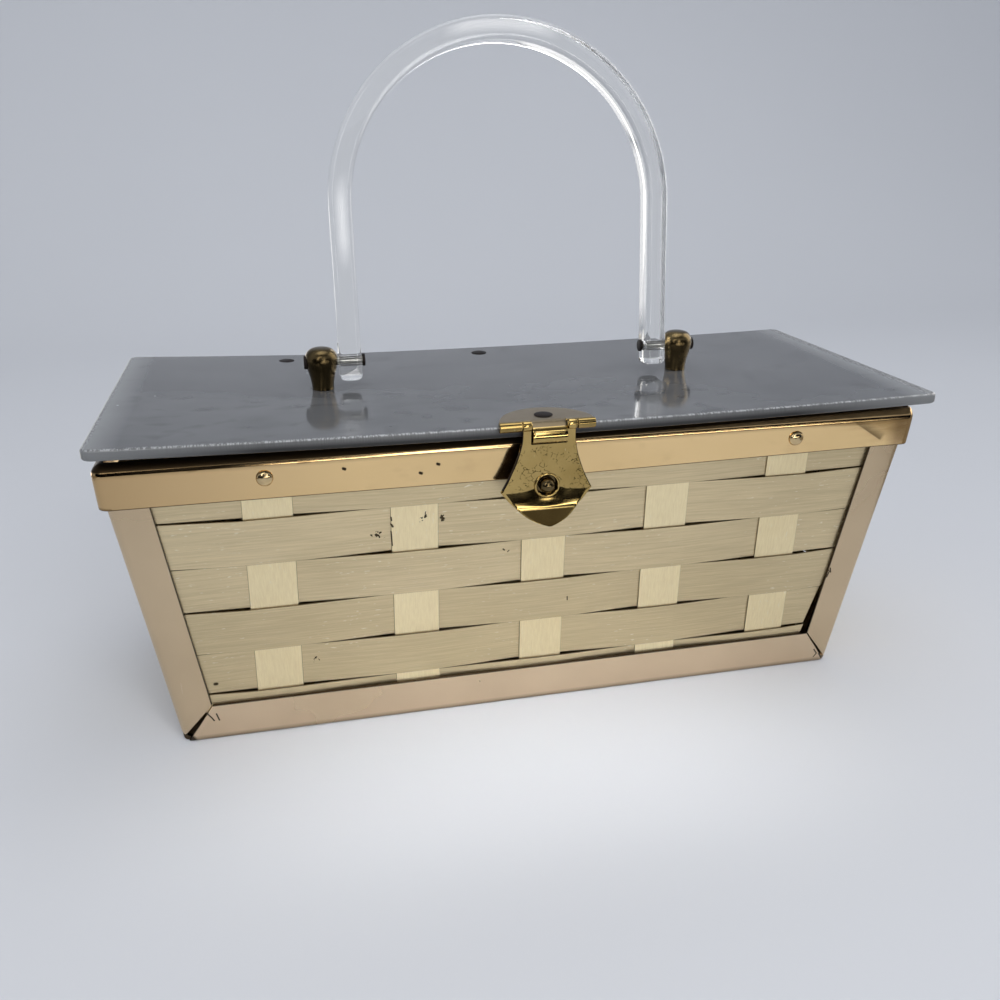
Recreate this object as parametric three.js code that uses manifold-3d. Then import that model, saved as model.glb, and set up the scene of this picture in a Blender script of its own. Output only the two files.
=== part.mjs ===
// Metal basket purse: walls woven from flat strips in a folded sheet frame, under a hinged acrylic lid
// that carries a swinging bow handle and a hasp.
import * as THREE from "three";
import { mergeVertices } from "three/addons/utils/BufferGeometryUtils.js";
import Module from "manifold-3d";

const wasm = await Module();
wasm.setup();

// Driving dimensions in millimetres. X runs along the purse, -Y is its front and Z = 0 is its foot.
const GAP = 0.3; // clearance between neighbouring pieces
const SHEET = 0.9; // thickness of the folded frame sheet
const ROUND_SIDES = 14; // facets round a pin, rivet or knuckle

const FOOT = { x: 107.5, y: 34.8 }; // half size of the basket at the floor
const SHOULDER = { x: 117.1, y: 43.4, z: 80.8 }; // half size where the rim band begins
const POST = { flange: 11, radius: 2.5, top: 86.5 };
const TRAY = { side: 12.6, edge: 0.9 };

const STRIP = { thick: 0.4, lift: 0.45, inset: 1.85, seam: 0.4, foot: 3, top: 86, endLift: 0.35 };
const ROW = { first: 15.9, pitch: 14.53, count: 6, endInset: 3.3 }; // first is the lowest full seam
const STAKE = { width: 13.7, flat: 7.5, turn: 1.5 };
const FRONT_STAKES = [-77.5, -36.1, 2.7, 40.7, 79.8]; // centres along the wall
const END_STAKES = [0];

const RIM = { low: 80.8, high: 91.4, lowX: 118.9, lowY: 45.2, highX: 119.3, highY: 46, wall: 1 };
const RIM_ROLL = { radius: 2.2, lip: 2.9, corner: 4, steps: 3 };
const RIM_RIVET = { z: 87, head: 2.3, dome: 1.3, shank: 1.1, tail: 2, tailThick: 0.5 };
const RIM_RIVET_X = { left: -76, right: 79.1 };

const LID = { x: 120, y: 50, thick: 3.05, middle: 97.77, sag: 1.49, corner: 1.75, chamfer: 0.35, step: 20 };
const LID_REACH = { back: 1.7, front: 2.6 }; // how far the right end's two corners stand out past LID.x
const LID_RIVET = { x: 68, y: 40.7, head: 2.7, dome: 0.9, shank: 1.1, tail: 1.8, tailThick: 0.5 };

const HINGE = { y: 47.8, z: 92.9, barrel: 1.5, pin: 0.8, bore: 1.05, leaf: 0.55, half: 80, sections: 5 };
const UPPER_LEAF = { front: 36.4, top: 94.5 };
const LOWER_LEAF = { foot: 82.6, y: 46.3 };

const BOW = { x: 0.8, y: 1.2 }; // middle of the handle's pivot line, a little off the lid's centre
const KNOB = { x: 58.2, height: 13, pinHeight: 8.5, stem: 1.3, foot: 2.4, footThick: 0.8 };
const KNOB_PROFILE = [
  { r: 3.15, z: 0.1 },
  { r: 3.0, z: 1.3 },
  { r: 3.3, z: 3.2 },
  { r: 4.2, z: 6.0 },
  { r: 4.9, z: 8.0 },
  { r: 5.0, z: 9.2 },
  { r: 4.5, z: 11.0 },
  { r: 3.2, z: 12.3 },
  { r: 1.6, z: 12.9 },
];
const HANDLE = { x: 49.5, width: 6.8, depth: 8.6, edge: 1.1, straight: 45, foot: 6.1, lean: 0.12, steps: 44 };
const HANDLE_PIN = { shaft: 1.3, bore: 1.6, head: 1.8, headThick: 0.9 };

const CLASP = { x: 0.6, y: -51.9, z: 98.4, half: 13.3, barrel: 1.45, pin: 0.8, bore: 1.05 };
const CLASP_PLATE = { thick: 1.4, chord: -48.4, back: -37.6, notchLow: 4.9, notchHigh: 7.9, notchY: -50.1 };
const CLASP_TONGUE = { low: 94.6, high: 99.5, front: -53.5, back: -50.3 };
const CLASP_RIVET = { y: -45.2, head: 2.65, dome: 0.35, shank: 1.1, tail: 1.8, tailThick: 0.5 };
const HASP = { thick: 0.9, armIn: 5.2, armOut: 7.6, windowLow: 93, hole: 3.2, holeZ: 80.4 };
const HASP_ROWS = [
  { z: 69.3, half: 0.7, y: -53.6 },
  { z: 70.2, half: 3.5, y: -52.8 },
  { z: 71.4, half: 5.9, y: -51.9 },
  { z: 73.0, half: 8.0, y: -51.1 },
  { z: 75.0, half: 10.0, y: -50.5 },
  { z: 77.0, half: 11.8, y: -50.2 },
  { z: 78.8, half: 13.2, y: -50.1 },
  { z: 81.0, half: 12.0, y: -50.2 },
  { z: 83.5, half: 10.8, y: -50.4 },
  { z: 86.5, half: 9.6, y: -50.8 },
  { z: 89.5, half: 8.6, y: -51.1 },
  { z: 92.5, half: 7.9, y: -51.5 },
  { z: 95.0, half: 7.6, y: -51.7 },
  { z: 98.4, half: 7.6, y: -51.9 },
];
const SNAP_CAP = { disc: 4.2, discThick: 0.65, ball: 2.3, ballRise: 0.94, back: -48.9 };
const SNAP_POST = { z: 83.4, radius: 2, bore: 2.35, tail: 3.2, tailFront: -44, tailThick: 0.6 };

function metal(color, roughness) {
  return new THREE.MeshStandardMaterial({ color, roughness, metalness: 1 });
}

const FRAME_GOLD = metal(0xb99f80, 0.35);
const ROW_GOLD = metal(0xc0ae8c, 0.45);
const STAKE_GOLD = metal(0xe0d0a6, 0.45);
const RIM_GOLD = metal(0xcfa978, 0.25);
const BRASS = metal(0x9a8850, 0.2);
const OLD_BRASS = metal(0x5a4c2a, 0.4);
const GREY_ACRYLIC = new THREE.MeshStandardMaterial({ color: 0x808184, roughness: 0.15, metalness: 0 });
const CLEAR_ACRYLIC = new THREE.MeshStandardMaterial({
  color: 0xe8eaee,
  roughness: 0.05,
  metalness: 0,
  transparent: true,
  opacity: 0.4,
});

// A closed geometry as a solid that can be joined and cut.
function solid(geometry) {
  const bare = geometry.index ? geometry.toNonIndexed() : geometry.clone();
  bare.deleteAttribute("normal");
  bare.deleteAttribute("uv");
  const merged = mergeVertices(bare, 1e-3);
  return new wasm.Manifold(
    new wasm.Mesh({
      numProp: 3,
      vertProperties: merged.attributes.position.array,
      triVerts: new Uint32Array(merged.index.array),
    }),
  );
}

function geometryOf(joined) {
  const { vertProperties, triVerts } = joined.getMesh();
  return new THREE.BufferGeometry()
    .setAttribute("position", new THREE.BufferAttribute(new Float32Array(vertProperties), 3))
    .setIndex(new THREE.BufferAttribute(new Uint32Array(triVerts), 1));
}

function cut(geometry, tools) {
  return geometryOf(tools.reduce((body, tool) => body.subtract(solid(tool)), solid(geometry)));
}

function join(geometries) {
  return geometryOf(geometries.map(solid).reduce((body, other) => body.add(other)));
}

// A skin through rings of points, closed at both ends. Each ring turns counter-clockwise seen from the last.
function loft(rings) {
  const size = rings[0].length;
  const faces = [];
  for (let i = 0; i + 1 < rings.length; i++) {
    for (let j = 0; j < size; j++) {
      const a = i * size + j;
      const b = i * size + ((j + 1) % size);
      faces.push(a, b, b + size, a, b + size, a + size);
    }
  }
  const last = (rings.length - 1) * size;
  for (let j = 1; j + 1 < size; j++) {
    faces.push(0, j + 1, j, last, last + j, last + j + 1);
  }
  return new THREE.BufferGeometry().setFromPoints(rings.flat()).setIndex(faces);
}

// A rectangle with rounded corners, level at height z.
function roundedRing(halfX, halfY, radius, z, steps) {
  const corners = [
    [1, 1],
    [-1, 1],
    [-1, -1],
    [1, -1],
  ];
  return corners.flatMap(([sx, sy], quarter) =>
    Array.from({ length: steps + 1 }, (_, k) => {
      const angle = ((quarter + k / steps) * Math.PI) / 2;
      const x = sx * (halfX - radius) + radius * Math.cos(angle);
      const y = sy * (halfY - radius) + radius * Math.sin(angle);
      return new THREE.Vector3(x, y, z);
    }),
  );
}

// A round bar along X.
function barX(radius, from, to, y, z) {
  return new THREE.CylinderGeometry(radius, radius, to - from, ROUND_SIDES)
    .rotateZ(Math.PI / 2)
    .translate((from + to) / 2, y, z);
}

// A round bar along Y.
function barY(radius, from, to, x, z) {
  return new THREE.CylinderGeometry(radius, radius, to - from, ROUND_SIDES).translate(x, (from + to) / 2, z);
}

// A round bar along Z.
function barZ(radius, from, to, x, y) {
  return new THREE.CylinderGeometry(radius, radius, to - from, ROUND_SIDES)
    .rotateX(Math.PI / 2)
    .translate(x, y, (from + to) / 2);
}

function block(from, to) {
  return new THREE.BoxGeometry(to[0] - from[0], to[1] - from[1], to[2] - from[2]).translate(
    (from[0] + to[0]) / 2,
    (from[1] + to[1]) / 2,
    (from[2] + to[2]) / 2,
  );
}

// A body turned about Z from radius and height pairs that run from its underside to its top.
function turned(profile) {
  const points = profile.map(({ r, z }) => new THREE.Vector2(r, z));
  return new THREE.LatheGeometry(points, ROUND_SIDES).rotateX(Math.PI / 2);
}

// A rivet along Z: domed head from height 0 up, shank through the given grip, and a flat tail below it.
function rivet(size, grip) {
  const dome = [0, 30, 60].map((degrees) => {
    const angle = THREE.MathUtils.degToRad(degrees);
    return { r: size.head * Math.cos(angle), z: size.dome * Math.sin(angle) };
  });
  return turned([
    { r: 0, z: -grip - size.tailThick },
    { r: size.tail, z: -grip - size.tailThick },
    { r: size.tail, z: -grip },
    { r: size.shank, z: -grip },
    { r: size.shank, z: 0 },
    ...dome,
    { r: 0, z: size.dome },
  ]);
}

function named(name, geometry, material) {
  const mesh = new THREE.Mesh(geometry, material);
  mesh.name = name;
  return mesh;
}

// Half size of the basket's outer face at height z.
function wallHalf(z) {
  const share = z / SHOULDER.z;
  return {
    x: THREE.MathUtils.lerp(FOOT.x, SHOULDER.x, share),
    y: THREE.MathUtils.lerp(FOOT.y, SHOULDER.y, share),
  };
}

const MITRE_RISE = TRAY.side / POST.flange; // height that the mitre climbs per millimetre from the corner

// The foot: a shallow tray whose sides are cut away at the corners along the mitres.
function baseTray() {
  const steps = 3;
  const ringAt = (z, inset) => {
    const half = wallHalf(z);
    return roundedRing(half.x - inset, half.y - inset, POST.radius, z, steps);
  };
  const outside = loft([
    ringAt(0, TRAY.edge),
    ringAt(TRAY.edge / 3, TRAY.edge / 3),
    ringAt(TRAY.edge, 0),
    ringAt(TRAY.side, 0),
  ]);
  const inside = loft([ringAt(SHEET, SHEET), ringAt(TRAY.side + 1, SHEET)]);
  const squareAt = (sx, sy, z) => {
    const corner = wallHalf(z);
    const reach = z / MITRE_RISE;
    return [
      new THREE.Vector3(sx * corner.x + reach, sy * corner.y + reach, z),
      new THREE.Vector3(sx * corner.x - reach, sy * corner.y + reach, z),
      new THREE.Vector3(sx * corner.x - reach, sy * corner.y - reach, z),
      new THREE.Vector3(sx * corner.x + reach, sy * corner.y - reach, z),
    ];
  };
  const mitres = [];
  for (const sx of [1, -1]) {
    for (const sy of [1, -1]) {
      mitres.push(loft([squareAt(sx, sy, GAP), squareAt(sx, sy, TRAY.side + 2)]));
    }
  }
  return cut(outside, [inside, ...mitres]);
}

// A corner post at +X, +Y: an angle of sheet whose two flanges are mitred at the foot.
function cornerPost() {
  const arcSteps = 4;
  const stations = [{ dx: POST.flange, dy: 0, inX: 0, inY: 1 }];
  for (let k = 0; k <= arcSteps; k++) {
    const angle = (Math.PI / 2) * (1 - k / arcSteps);
    stations.push({
      dx: POST.radius * (1 - Math.cos(angle)),
      dy: POST.radius * (1 - Math.sin(angle)),
      inX: Math.cos(angle),
      inY: Math.sin(angle),
    });
  }
  stations.push({ dx: 0, dy: POST.flange, inX: 1, inY: 0 });
  const edge = ({ dx, dy, inX, inY }, z, depth) => {
    const half = wallHalf(z);
    return new THREE.Vector3(half.x - dx - inX * depth, half.y - dy - inY * depth, z);
  };
  // Each station is a ring across the sheet: outer top, inner top, inner foot, outer foot.
  const rings = stations.map((station) => {
    const foot = MITRE_RISE * Math.max(station.dx, station.dy) + 2 * GAP;
    return [
      edge(station, POST.top, 0),
      edge(station, POST.top, SHEET),
      edge(station, foot, SHEET),
      edge(station, foot, 0),
    ];
  });
  return loft(rings);
}

// The outline of a flat strip that follows a path of place and lift points.
function stripOutline(path) {
  const half = STRIP.thick / 2;
  const front = path.map(([place, lift]) => new THREE.Vector2(place, lift + half));
  const back = path.map(([place, lift]) => new THREE.Vector2(place, lift - half));
  return new THREE.Shape([...back, ...front.reverse()]);
}

function extruded(shape, depth) {
  return new THREE.ExtrudeGeometry(shape, { depth, bevelEnabled: false });
}

// Seams between the rows from the foot up, measured along the vertical.
function rowSpan(row) {
  const low = ROW.first + (row - 1) * ROW.pitch;
  return {
    low: Math.max(low, STRIP.foot),
    high: Math.min(low + ROW.pitch - STRIP.seam, STRIP.top),
  };
}

// A stake passes in front of every second row, and its neighbours pass in front of the others.
function stakeInFront(row, stake) {
  return (row + stake) % 2 === 1;
}

// One woven wall, flat in its own frame: X along the wall, Y up its slope and Z outward.
function wovenWall(name, stakes, footHalf, footAcross, shoulderHalf, shoulderAcross) {
  const lean = Math.atan((shoulderHalf - footHalf) / SHOULDER.z);
  const upSlope = 1 / Math.cos(lean);
  const wall = new THREE.Group();
  wall.position.set(0, -footHalf + STRIP.inset * upSlope, 0);
  wall.rotation.x = Math.PI / 2 + lean;
  for (let row = 0; row < ROW.count; row++) {
    const { low, high } = rowSpan(row);
    const reach = THREE.MathUtils.lerp(footAcross, shoulderAcross, low / SHOULDER.z) - ROW.endInset;
    const path = [[-reach, STRIP.endLift]];
    stakes.forEach((centre, stake) => {
      const lift = stakeInFront(row, stake) ? -STRIP.lift : STRIP.lift;
      path.push([centre - STAKE.flat, lift], [centre + STAKE.flat, lift]);
    });
    path.push([reach, STRIP.endLift]);
    const strip = extruded(stripOutline(path), (high - low) * upSlope)
      .rotateX(Math.PI / 2)
      .translate(0, high * upSlope, 0);
    wall.add(named(`${name}_row_${row + 1}`, strip, ROW_GOLD));
  }
  const stakeTurn = new THREE.Matrix4().makeBasis(
    new THREE.Vector3(0, 1, 0),
    new THREE.Vector3(0, 0, 1),
    new THREE.Vector3(1, 0, 0),
  );
  stakes.forEach((centre, stake) => {
    const path = [];
    for (let row = 0; row < ROW.count; row++) {
      const { low, high } = rowSpan(row);
      const lift = stakeInFront(row, stake) ? STRIP.lift : -STRIP.lift;
      const from = row === 0 ? low : low + STAKE.turn;
      const to = row === ROW.count - 1 ? high : high + STRIP.seam - STAKE.turn;
      path.push([from * upSlope, lift], [to * upSlope, lift]);
    }
    const strip = extruded(stripOutline(path), STAKE.width)
      .applyMatrix4(stakeTurn)
      .translate(centre - STAKE.width / 2, 0, 0);
    wall.add(named(`${name}_stake_${stake + 1}`, strip, STAKE_GOLD));
  });
  return wall;
}

// Outer half size of the rim band at height z, drawn in by an inset.
function rimRing(z, inset) {
  const share = Math.min((z - RIM.low) / (RIM.high - RIM.low), 1);
  const halfX = THREE.MathUtils.lerp(RIM.lowX, RIM.highX, share) - inset;
  const halfY = THREE.MathUtils.lerp(RIM.lowY, RIM.highY, share) - inset;
  return roundedRing(halfX, halfY, Math.max(RIM_ROLL.corner - inset, 1), z, RIM_ROLL.steps);
}

// Outer face of the band's front at height z.
function rimFront(z) {
  return -THREE.MathUtils.lerp(RIM.lowY, RIM.highY, (z - RIM.low) / (RIM.high - RIM.low));
}

const RIM_LEAN = Math.atan((RIM.highY - RIM.lowY) / (RIM.high - RIM.low));
const RIM_TOP = RIM.high + RIM_ROLL.radius;

// The rim: an upright band that rolls inward at the top, with holes for what is fixed to its front.
function rimBand() {
  const roll = (radius, inset) =>
    [30, 60, 90].map((degrees) => {
      const angle = THREE.MathUtils.degToRad(degrees);
      return rimRing(RIM.high + radius * Math.sin(angle), inset + radius * (1 - Math.cos(angle)));
    });
  const outside = loft([rimRing(RIM.low, 0), rimRing(RIM.high, 0), ...roll(RIM_ROLL.radius, 0)]);
  const inside = loft([
    rimRing(RIM.low - 1, RIM.wall),
    rimRing(RIM.high, RIM.wall),
    ...roll(RIM_ROLL.radius - RIM.wall, RIM.wall),
  ]);
  const mouth = loft([rimRing(RIM.high, RIM_ROLL.lip), rimRing(RIM_TOP + 1, RIM_ROLL.lip)]);
  const front = rimFront(RIM_RIVET.z);
  const holes = Object.values(RIM_RIVET_X).map((x) =>
    barY(RIM_RIVET.shank + GAP, front - 2, front + 3, x, RIM_RIVET.z),
  );
  holes.push(barY(SNAP_POST.bore, front - 2, front + 3, CLASP.x, SNAP_POST.z));
  return cut(outside, [inside, mouth, ...holes]);
}

function rimRivet() {
  return rivet(RIM_RIVET, RIM.wall + 2 * GAP);
}

// The post that the hasp's button meets, riveted through the band.
function snapPost() {
  const front = SNAP_CAP.back + GAP;
  const back = SNAP_POST.tailFront + SNAP_POST.tailThick;
  return join([
    barY(SNAP_POST.radius, front, back, CLASP.x, SNAP_POST.z),
    barY(SNAP_POST.tail, SNAP_POST.tailFront, back, CLASP.x, SNAP_POST.z),
  ]);
}

// Spans of the hinge's knuckles along X: the even ones belong to the lower leaf.
function knuckleSpans() {
  const length = (2 * HINGE.half) / HINGE.sections;
  return Array.from({ length: HINGE.sections }, (_, k) => {
    const from = -HINGE.half + k * length;
    return { lower: k % 2 === 0, from: from + GAP / 2, to: from + length - GAP / 2 };
  });
}

function hingeLowerLeaf() {
  const back = LOWER_LEAF.y + HINGE.leaf;
  const short = HINGE.z - HINGE.barrel - 2 * GAP;
  const pieces = [
    barX(HINGE.pin, -HINGE.half + GAP / 2, HINGE.half - GAP / 2, HINGE.y, HINGE.z),
    block([-HINGE.half, LOWER_LEAF.y, LOWER_LEAF.foot], [HINGE.half, back, short]),
  ];
  for (const { from, to, lower } of knuckleSpans()) {
    if (lower) {
      pieces.push(barX(HINGE.barrel, from, to, HINGE.y, HINGE.z));
      pieces.push(block([from, LOWER_LEAF.y, short - 1], [to, back, HINGE.z]));
    }
  }
  return join(pieces);
}

function hingeUpperLeaf() {
  const low = UPPER_LEAF.top - HINGE.leaf;
  const short = HINGE.y - HINGE.barrel - 2 * GAP;
  const pieces = [block([-HINGE.half, UPPER_LEAF.front, low], [HINGE.half, short, UPPER_LEAF.top])];
  const tools = [barX(HINGE.bore, -HINGE.half - 1, HINGE.half + 1, HINGE.y, HINGE.z)];
  for (const { from, to, lower } of knuckleSpans()) {
    if (!lower) {
      pieces.push(barX(HINGE.barrel, from, to, HINGE.y, HINGE.z));
      pieces.push(block([from, short - 1, low], [to, HINGE.y, UPPER_LEAF.top]));
    }
  }
  for (const side of [-1, 0, 1]) {
    tools.push(barZ(LID_RIVET.shank + GAP, low - 1, UPPER_LEAF.top + 1, side * LID_RIVET.x, LID_RIVET.y));
  }
  return cut(join(pieces), tools);
}

// Height of the lid's upper face, which sags along its length.
function lidTop(x) {
  return LID.middle + LID.sag * (x / LID.x) ** 2;
}

// Outward shift of the lid's right half, which is a little longer than its left.
function lidReach(x, y) {
  return Math.max(x / LID.x, 0) * THREE.MathUtils.mapLinear(y, -LID.y, LID.y, LID_REACH.front, LID_REACH.back);
}

function lidSlab() {
  const stations = [];
  const corner = [0, 30, 60, 90].map((degrees) => {
    const angle = THREE.MathUtils.degToRad(degrees);
    return {
      x: LID.x - LID.corner * (1 - Math.sin(angle)),
      y: LID.y - LID.corner * (1 - Math.cos(angle)),
      drawn: degrees === 90 ? LID.chamfer : 0,
    };
  });
  corner.toReversed().forEach(({ x, y, drawn }) => stations.push({ x: -x, y, drawn }));
  for (let x = -LID.x + LID.step; x < LID.x; x += LID.step) {
    stations.push({ x, y: LID.y, drawn: 0 });
  }
  stations.push(...corner);
  const slab = loft(
    stations.map(({ x, y, drawn }) => {
      const high = lidTop(x) - drawn;
      const low = lidTop(x) - LID.thick + drawn;
      const c = LID.chamfer;
      const section = [
        [-y, low + c],
        [-y + c, low],
        [y - c, low],
        [y, low + c],
        [y, high - c],
        [y - c, high],
        [-y + c, high],
        [-y, high - c],
      ];
      return section.map(([across, height]) => new THREE.Vector3(x + lidReach(x, across), across, height));
    }),
  );
  const holeAt = (radius, x, y) => barZ(radius + GAP, LID.middle - 10, LID.middle + 10, x, y);
  const holes = [-1, 0, 1].map((side) => holeAt(LID_RIVET.shank, side * LID_RIVET.x, LID_RIVET.y));
  holes.push(holeAt(CLASP_RIVET.shank, CLASP.x, CLASP_RIVET.y));
  holes.push(...[-1, 1].map((side) => holeAt(KNOB.stem, BOW.x + side * KNOB.x, BOW.y)));
  return cut(slab, holes);
}

// Each lid rivet also grips the hinge leaf under the lid.
function lidRivet(x) {
  const seat = lidTop(x) + GAP / 3;
  return rivet(LID_RIVET, seat - UPPER_LEAF.top + HINGE.leaf + GAP / 3).translate(x, LID_RIVET.y, seat);
}

const KNOB_SEAT = lidTop(BOW.x + KNOB.x);
const PIN_Z = KNOB_SEAT + KNOB.pinHeight;

// The knob at +X, with its stem through the lid and the pin that carries the handle's leg.
function knob() {
  const under = -LID.thick - GAP;
  const body = turned([
    { r: 0, z: under - KNOB.footThick },
    { r: KNOB.foot, z: under - KNOB.footThick },
    { r: KNOB.foot, z: under },
    { r: KNOB.stem, z: under },
    { r: KNOB.stem, z: KNOB_PROFILE[0].z },
    ...KNOB_PROFILE,
    { r: 0, z: KNOB.height },
  ]).translate(KNOB.x, 0, KNOB_SEAT);
  const outer = KNOB.x + Math.max(...KNOB_PROFILE.map(({ r }) => r));
  const inner = HANDLE.x - HANDLE.width / 2 - GAP;
  return join([
    body,
    barX(HANDLE_PIN.shaft, inner - HANDLE_PIN.headThick / 2, outer, 0, PIN_Z),
    barX(HANDLE_PIN.head, inner - HANDLE_PIN.headThick, inner, 0, PIN_Z),
    barX(HANDLE_PIN.head, outer - HANDLE_PIN.headThick, outer + HANDLE_PIN.headThick / 2, 0, PIN_Z),
  ]);
}

// The bow's centre line: up one leg, round a half circle and down the other, with the pins at height 0.
class BowCurve extends THREE.Curve {
  getPoint(t, target = new THREE.Vector3()) {
    const leg = HANDLE.straight + HANDLE.foot;
    const arc = Math.PI * HANDLE.x;
    const along = t * (2 * leg + arc);
    if (along < leg) return target.set(-HANDLE.x, 0, along - HANDLE.foot);
    if (along > leg + arc) return target.set(HANDLE.x, 0, HANDLE.straight - (along - leg - arc));
    const angle = (along - leg) / HANDLE.x;
    const height = HANDLE.straight + HANDLE.x * Math.sin(angle);
    return target.set(-HANDLE.x * Math.cos(angle), 0, height);
  }
}

function bowHandle() {
  const deep = HANDLE.depth / 2;
  const wide = HANDLE.width / 2;
  const e = HANDLE.edge;
  const section = new THREE.Shape(
    [
      [deep - e, -wide],
      [deep, -wide + e],
      [deep, wide - e],
      [deep - e, wide],
      [-deep + e, wide],
      [-deep, wide - e],
      [-deep, -wide + e],
      [-deep + e, -wide],
    ].map(([x, y]) => new THREE.Vector2(x, y)),
  );
  const bow = new THREE.ExtrudeGeometry(section, {
    steps: HANDLE.steps,
    extrudePath: new BowCurve(),
    bevelEnabled: false,
  });
  return cut(bow, [barX(HANDLE_PIN.bore, -HANDLE.x - wide - 1, HANDLE.x + wide + 1, 0, 0)]);
}

// The clasp plate: a segment of a disc on the lid, with end knuckles, a curled tongue and the hasp's pin.
function claspPlate() {
  const low = LID.middle + GAP / 2;
  const half = CLASP.half;
  const sagitta = CLASP_PLATE.back - CLASP_PLATE.chord;
  const radius = (half ** 2 + sagitta ** 2) / (2 * sagitta);
  const centreY = CLASP_PLATE.back - radius;
  const start = Math.atan2(CLASP_PLATE.chord - centreY, half);
  const outline = new THREE.Shape();
  outline.moveTo(half, CLASP.y);
  outline.lineTo(half, CLASP_PLATE.chord);
  outline.absarc(0, centreY, radius, start, Math.PI - start, false);
  outline.lineTo(-half, CLASP.y);
  outline.closePath();
  const plate = new THREE.ExtrudeGeometry(outline, {
    depth: CLASP_PLATE.thick,
    bevelEnabled: false,
    curveSegments: 16,
  }).translate(0, 0, low);
  const notch = (side) =>
    block(
      [Math.min(side * CLASP_PLATE.notchLow, side * CLASP_PLATE.notchHigh), CLASP.y - 5, low - 5],
      [Math.max(side * CLASP_PLATE.notchLow, side * CLASP_PLATE.notchHigh), CLASP_PLATE.notchY, low + 5],
    );
  const rivetHole = barZ(CLASP_RIVET.shank + GAP, low - 1, low + CLASP_PLATE.thick + 1, 0, CLASP_RIVET.y);
  const tongueRadius = (CLASP_TONGUE.back - CLASP_TONGUE.front) / 2;
  const tongueY = (CLASP_TONGUE.back + CLASP_TONGUE.front) / 2;
  const reach = CLASP_PLATE.notchLow;
  return join([
    cut(plate, [notch(-1), notch(1), rivetHole]),
    barX(CLASP.barrel, -half, -CLASP_PLATE.notchHigh, CLASP.y, CLASP.z),
    barX(CLASP.barrel, CLASP_PLATE.notchHigh, half, CLASP.y, CLASP.z),
    barX(CLASP.pin, -half, half, CLASP.y, CLASP.z),
    barX(tongueRadius, -reach, reach, tongueY, CLASP_TONGUE.high - tongueRadius),
    barX(tongueRadius, -reach, reach, tongueY, CLASP_TONGUE.low + tongueRadius),
  ]);
}

function claspRivet() {
  const seat = LID.middle + GAP / 2 + CLASP_PLATE.thick + GAP / 3;
  const grip = seat - LID.middle + LID.thick + GAP / 2;
  return rivet(CLASP_RIVET, grip).translate(0, CLASP_RIVET.y, seat);
}

// The hasp: a bent shield that hangs by two arms from the clasp plate's pin.
function haspShield() {
  const half = HASP.thick / 2;
  const shield = loft(
    HASP_ROWS.map(({ z, half: wide, y }) => [
      new THREE.Vector3(wide, y - half, z),
      new THREE.Vector3(wide, y + half, z),
      new THREE.Vector3(-wide, y + half, z),
      new THREE.Vector3(-wide, y - half, z),
    ]),
  );
  const window = block(
    [-HASP.armIn, CLASP.y - 5, HASP.windowLow],
    [HASP.armIn, CLASP.y + 5, CLASP.z + 5],
  );
  const hole = barY(HASP.hole, CLASP.y - 5, CLASP.y + 5, 0, HASP.holeZ);
  const knuckles = [-1, 1].map((side) => {
    const ends = [side * HASP.armIn, side * HASP.armOut];
    return barX(CLASP.barrel, Math.min(...ends), Math.max(...ends), CLASP.y, CLASP.z);
  });
  const bore = barX(CLASP.bore, -CLASP.half, CLASP.half, CLASP.y, CLASP.z);
  return cut(join([cut(shield, [window, hole]), ...knuckles]), [bore]);
}

// The hasp's ball button on its backing disc, turned about Y.
function snapCap() {
  const { disc, discThick, ball, ballRise } = SNAP_CAP;
  const start = Math.asin(-ballRise / ball);
  const arcSteps = 6;
  const round = Array.from({ length: arcSteps }, (_, k) => {
    const angle = start + ((Math.PI / 2 - start) * k) / arcSteps;
    return { r: ball * Math.cos(angle), z: discThick + ballRise + ball * Math.sin(angle) };
  });
  return turned([
    { r: 0, z: 0 },
    { r: disc, z: 0 },
    { r: disc, z: discThick },
    ...round,
    { r: 0, z: discThick + ballRise + ball },
  ])
    .rotateX(Math.PI / 2)
    .translate(0, SNAP_CAP.back, HASP.holeZ);
}

const purse = new THREE.Group();

const basket = new THREE.Group();
purse.add(basket);
basket.add(named("base_tray", baseTray(), FRAME_GOLD));
const post = cornerPost();
for (const [depthName, sy] of Object.entries({ front: -1, back: 1 })) {
  for (const [sideName, sx] of Object.entries({ left: -1, right: 1 })) {
    const mesh = named(`post_${depthName}_${sideName}`, post, FRAME_GOLD);
    mesh.scale.set(sx, sy, 1);
    basket.add(mesh);
  }
}
const WALLS = [
  { name: "front", turn: 0, stakes: FRONT_STAKES, face: "y", across: "x" },
  { name: "right", turn: Math.PI / 2, stakes: END_STAKES, face: "x", across: "y" },
  { name: "back", turn: Math.PI, stakes: FRONT_STAKES, face: "y", across: "x" },
  { name: "left", turn: -Math.PI / 2, stakes: END_STAKES, face: "x", across: "y" },
];
for (const { name, turn, stakes, face, across } of WALLS) {
  const side = new THREE.Group();
  side.rotation.z = turn;
  side.add(wovenWall(name, stakes, FOOT[face], FOOT[across], SHOULDER[face], SHOULDER[across]));
  basket.add(side);
}
basket.add(named("rim_band", rimBand(), RIM_GOLD));
const bandRivet = rimRivet();
for (const [sideName, x] of Object.entries(RIM_RIVET_X)) {
  const mesh = named(`rim_rivet_${sideName}`, bandRivet, RIM_GOLD);
  mesh.position.set(x, rimFront(RIM_RIVET.z) - GAP / 2, RIM_RIVET.z);
  mesh.rotation.x = Math.PI / 2 + RIM_LEAN;
  basket.add(mesh);
}
basket.add(named("snap_post", snapPost(), BRASS));
basket.add(named("hinge_lower_leaf", hingeLowerLeaf(), BRASS));

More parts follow.
